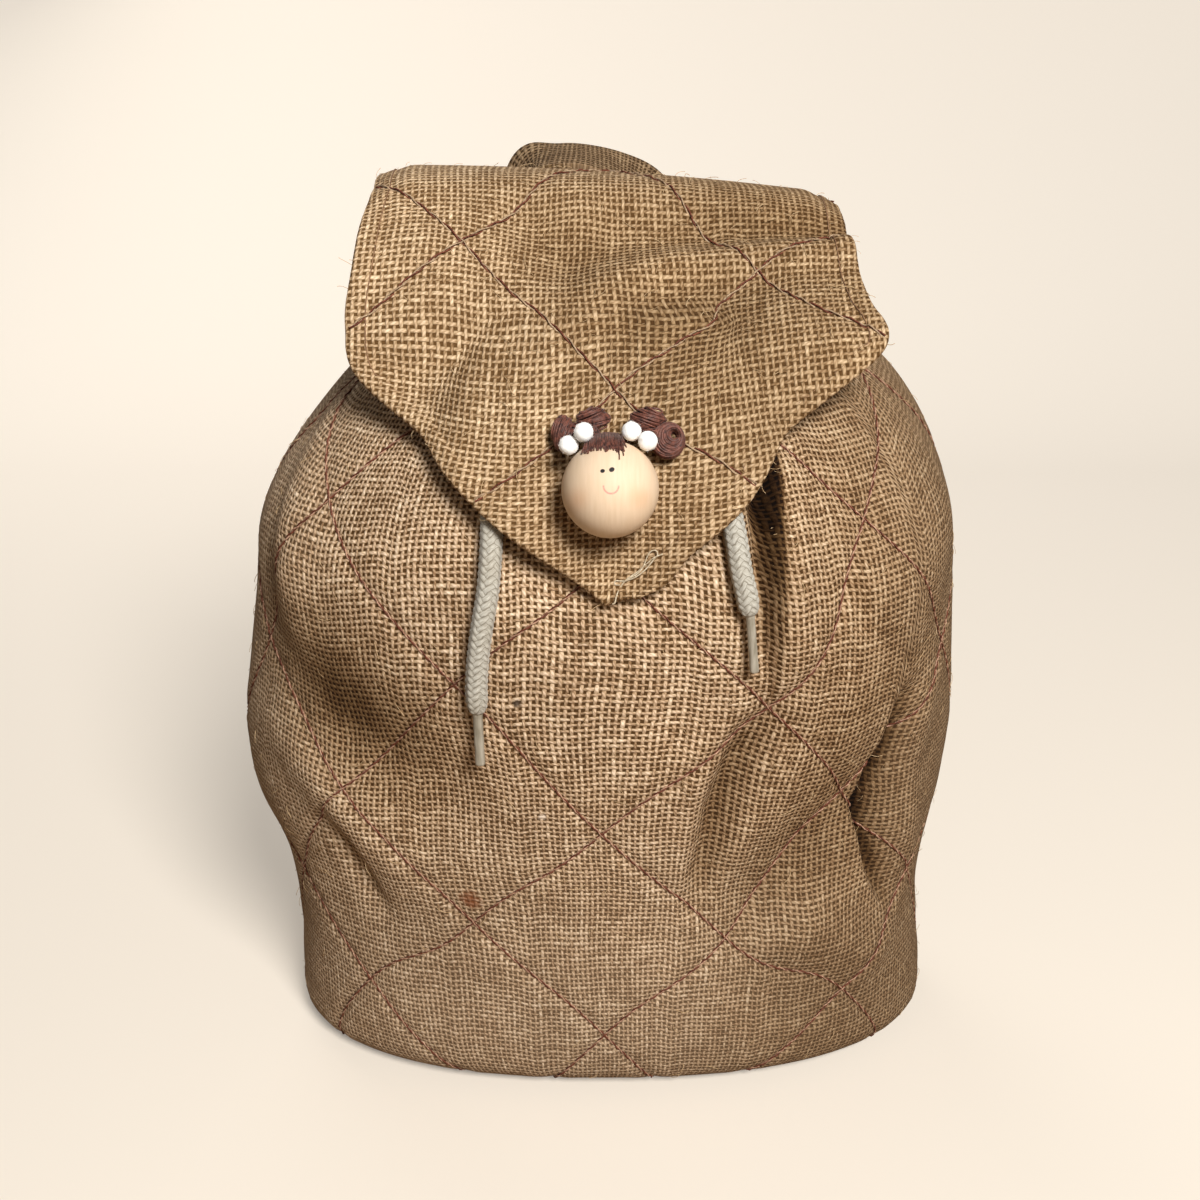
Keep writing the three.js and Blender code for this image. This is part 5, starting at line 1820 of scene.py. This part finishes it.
def make_fibres(name, cloth, **sizes):
    """Loose jute fibres that stand off a cloth."""
    on_root(FLUFF.grow(name, cloth, FIBRE, thick=0.16, **sizes), "jute")


make_loose_thread()
make_fibres("bag_fibres", bag, density=4200.0, length=4.2, lift=0.22, seed=4)
make_fibres("flap_fibres", flap, density=6500.0, length=4.4, lift=0.24, seed=9)

# ---------------------------------------------------------------- floor, backdrop and light


# metres: front edge of the floor, start of the backdrop's bend, its radius, top and half width
FLOOR_FRONT, BEND_START, BEND_RADIUS, SWEEP_TOP, SWEEP_HALF = -3.0, 1.0, 0.8, 4.0, 4.0
PAPER, PAPER_GLOW = srgb(208, 198, 184), srgb(244, 236, 224)


def make_stage():
    """Floor and backdrop in one sweep, pale to look at, duller in what it throws on the cloth."""
    f = Finish("paper", 0.9, specular_ior_level=0.2)
    rays = f.node("ShaderNodeLightPath", out="Is Camera Ray")
    f.colour(f.mix(rays, DUSTY, PAPER))
    _, back, _ = f.split(f.place())
    f.shader.inputs["Emission Color"].default_value = PAPER_GLOW
    glow = f.multiply(rays, f.ramp(back, -0.8, 1.5, 0.2, 0.56, True))
    f.tree.links.new(glow, f.shader.inputs["Emission Strength"])
    profile = [(FLOOR_FRONT, 0.0), (BEND_START, 0.0)]
    for turn in np.linspace(0.1, math.pi / 2, 12):
        rise = BEND_RADIUS * (1 - math.cos(turn))
        profile.append((BEND_START + BEND_RADIUS * math.sin(turn), rise))
    profile.append((BEND_START + BEND_RADIUS, SWEEP_TOP))
    grid = np.array([[(x, y, z) for x in (-SWEEP_HALF, SWEEP_HALF)] for y, z in profile]) / MM
    faces, _ = grid_faces(1, len(profile) - 1, False)
    mesh_piece("sweep", grid.reshape(-1, 3), faces, None, f.material)


def make_lamp(name, place, size, power, colour):
    """A round soft lamp aimed at the middle of the bag."""
    data = bpy.data.lights.new(name, "AREA")
    data.shape = "DISK"
    data.size = size
    data.energy = power
    data.color = colour
    lamp = bpy.data.objects.new(name, data)
    lamp.location = place
    lamp.rotation_euler = (Vector((0, 0, 0.2)) - Vector(place)).to_track_quat("-Z", "Y").to_euler()
    bpy.context.scene.collection.objects.link(lamp)


def make_room():
    """Dim warm light from all round."""
    room = bpy.data.worlds.new("room")
    room.use_nodes = True
    light = room.node_tree.nodes["Background"].inputs
    light["Color"].default_value = (1, 0.98, 0.95, 1)
    light["Strength"].default_value = 0.14
    bpy.context.scene.world = room


make_stage()
make_lamp("key", (0.5, -1.4, 1.3), 0.6, 48, (1.0, 0.99, 0.975))
make_lamp("back", (-0.7, 1.3, 1.25), 1.4, 9, (1.0, 0.98, 0.95))
make_room()
bpy.context.scene.view_settings.view_transform = "Standard"
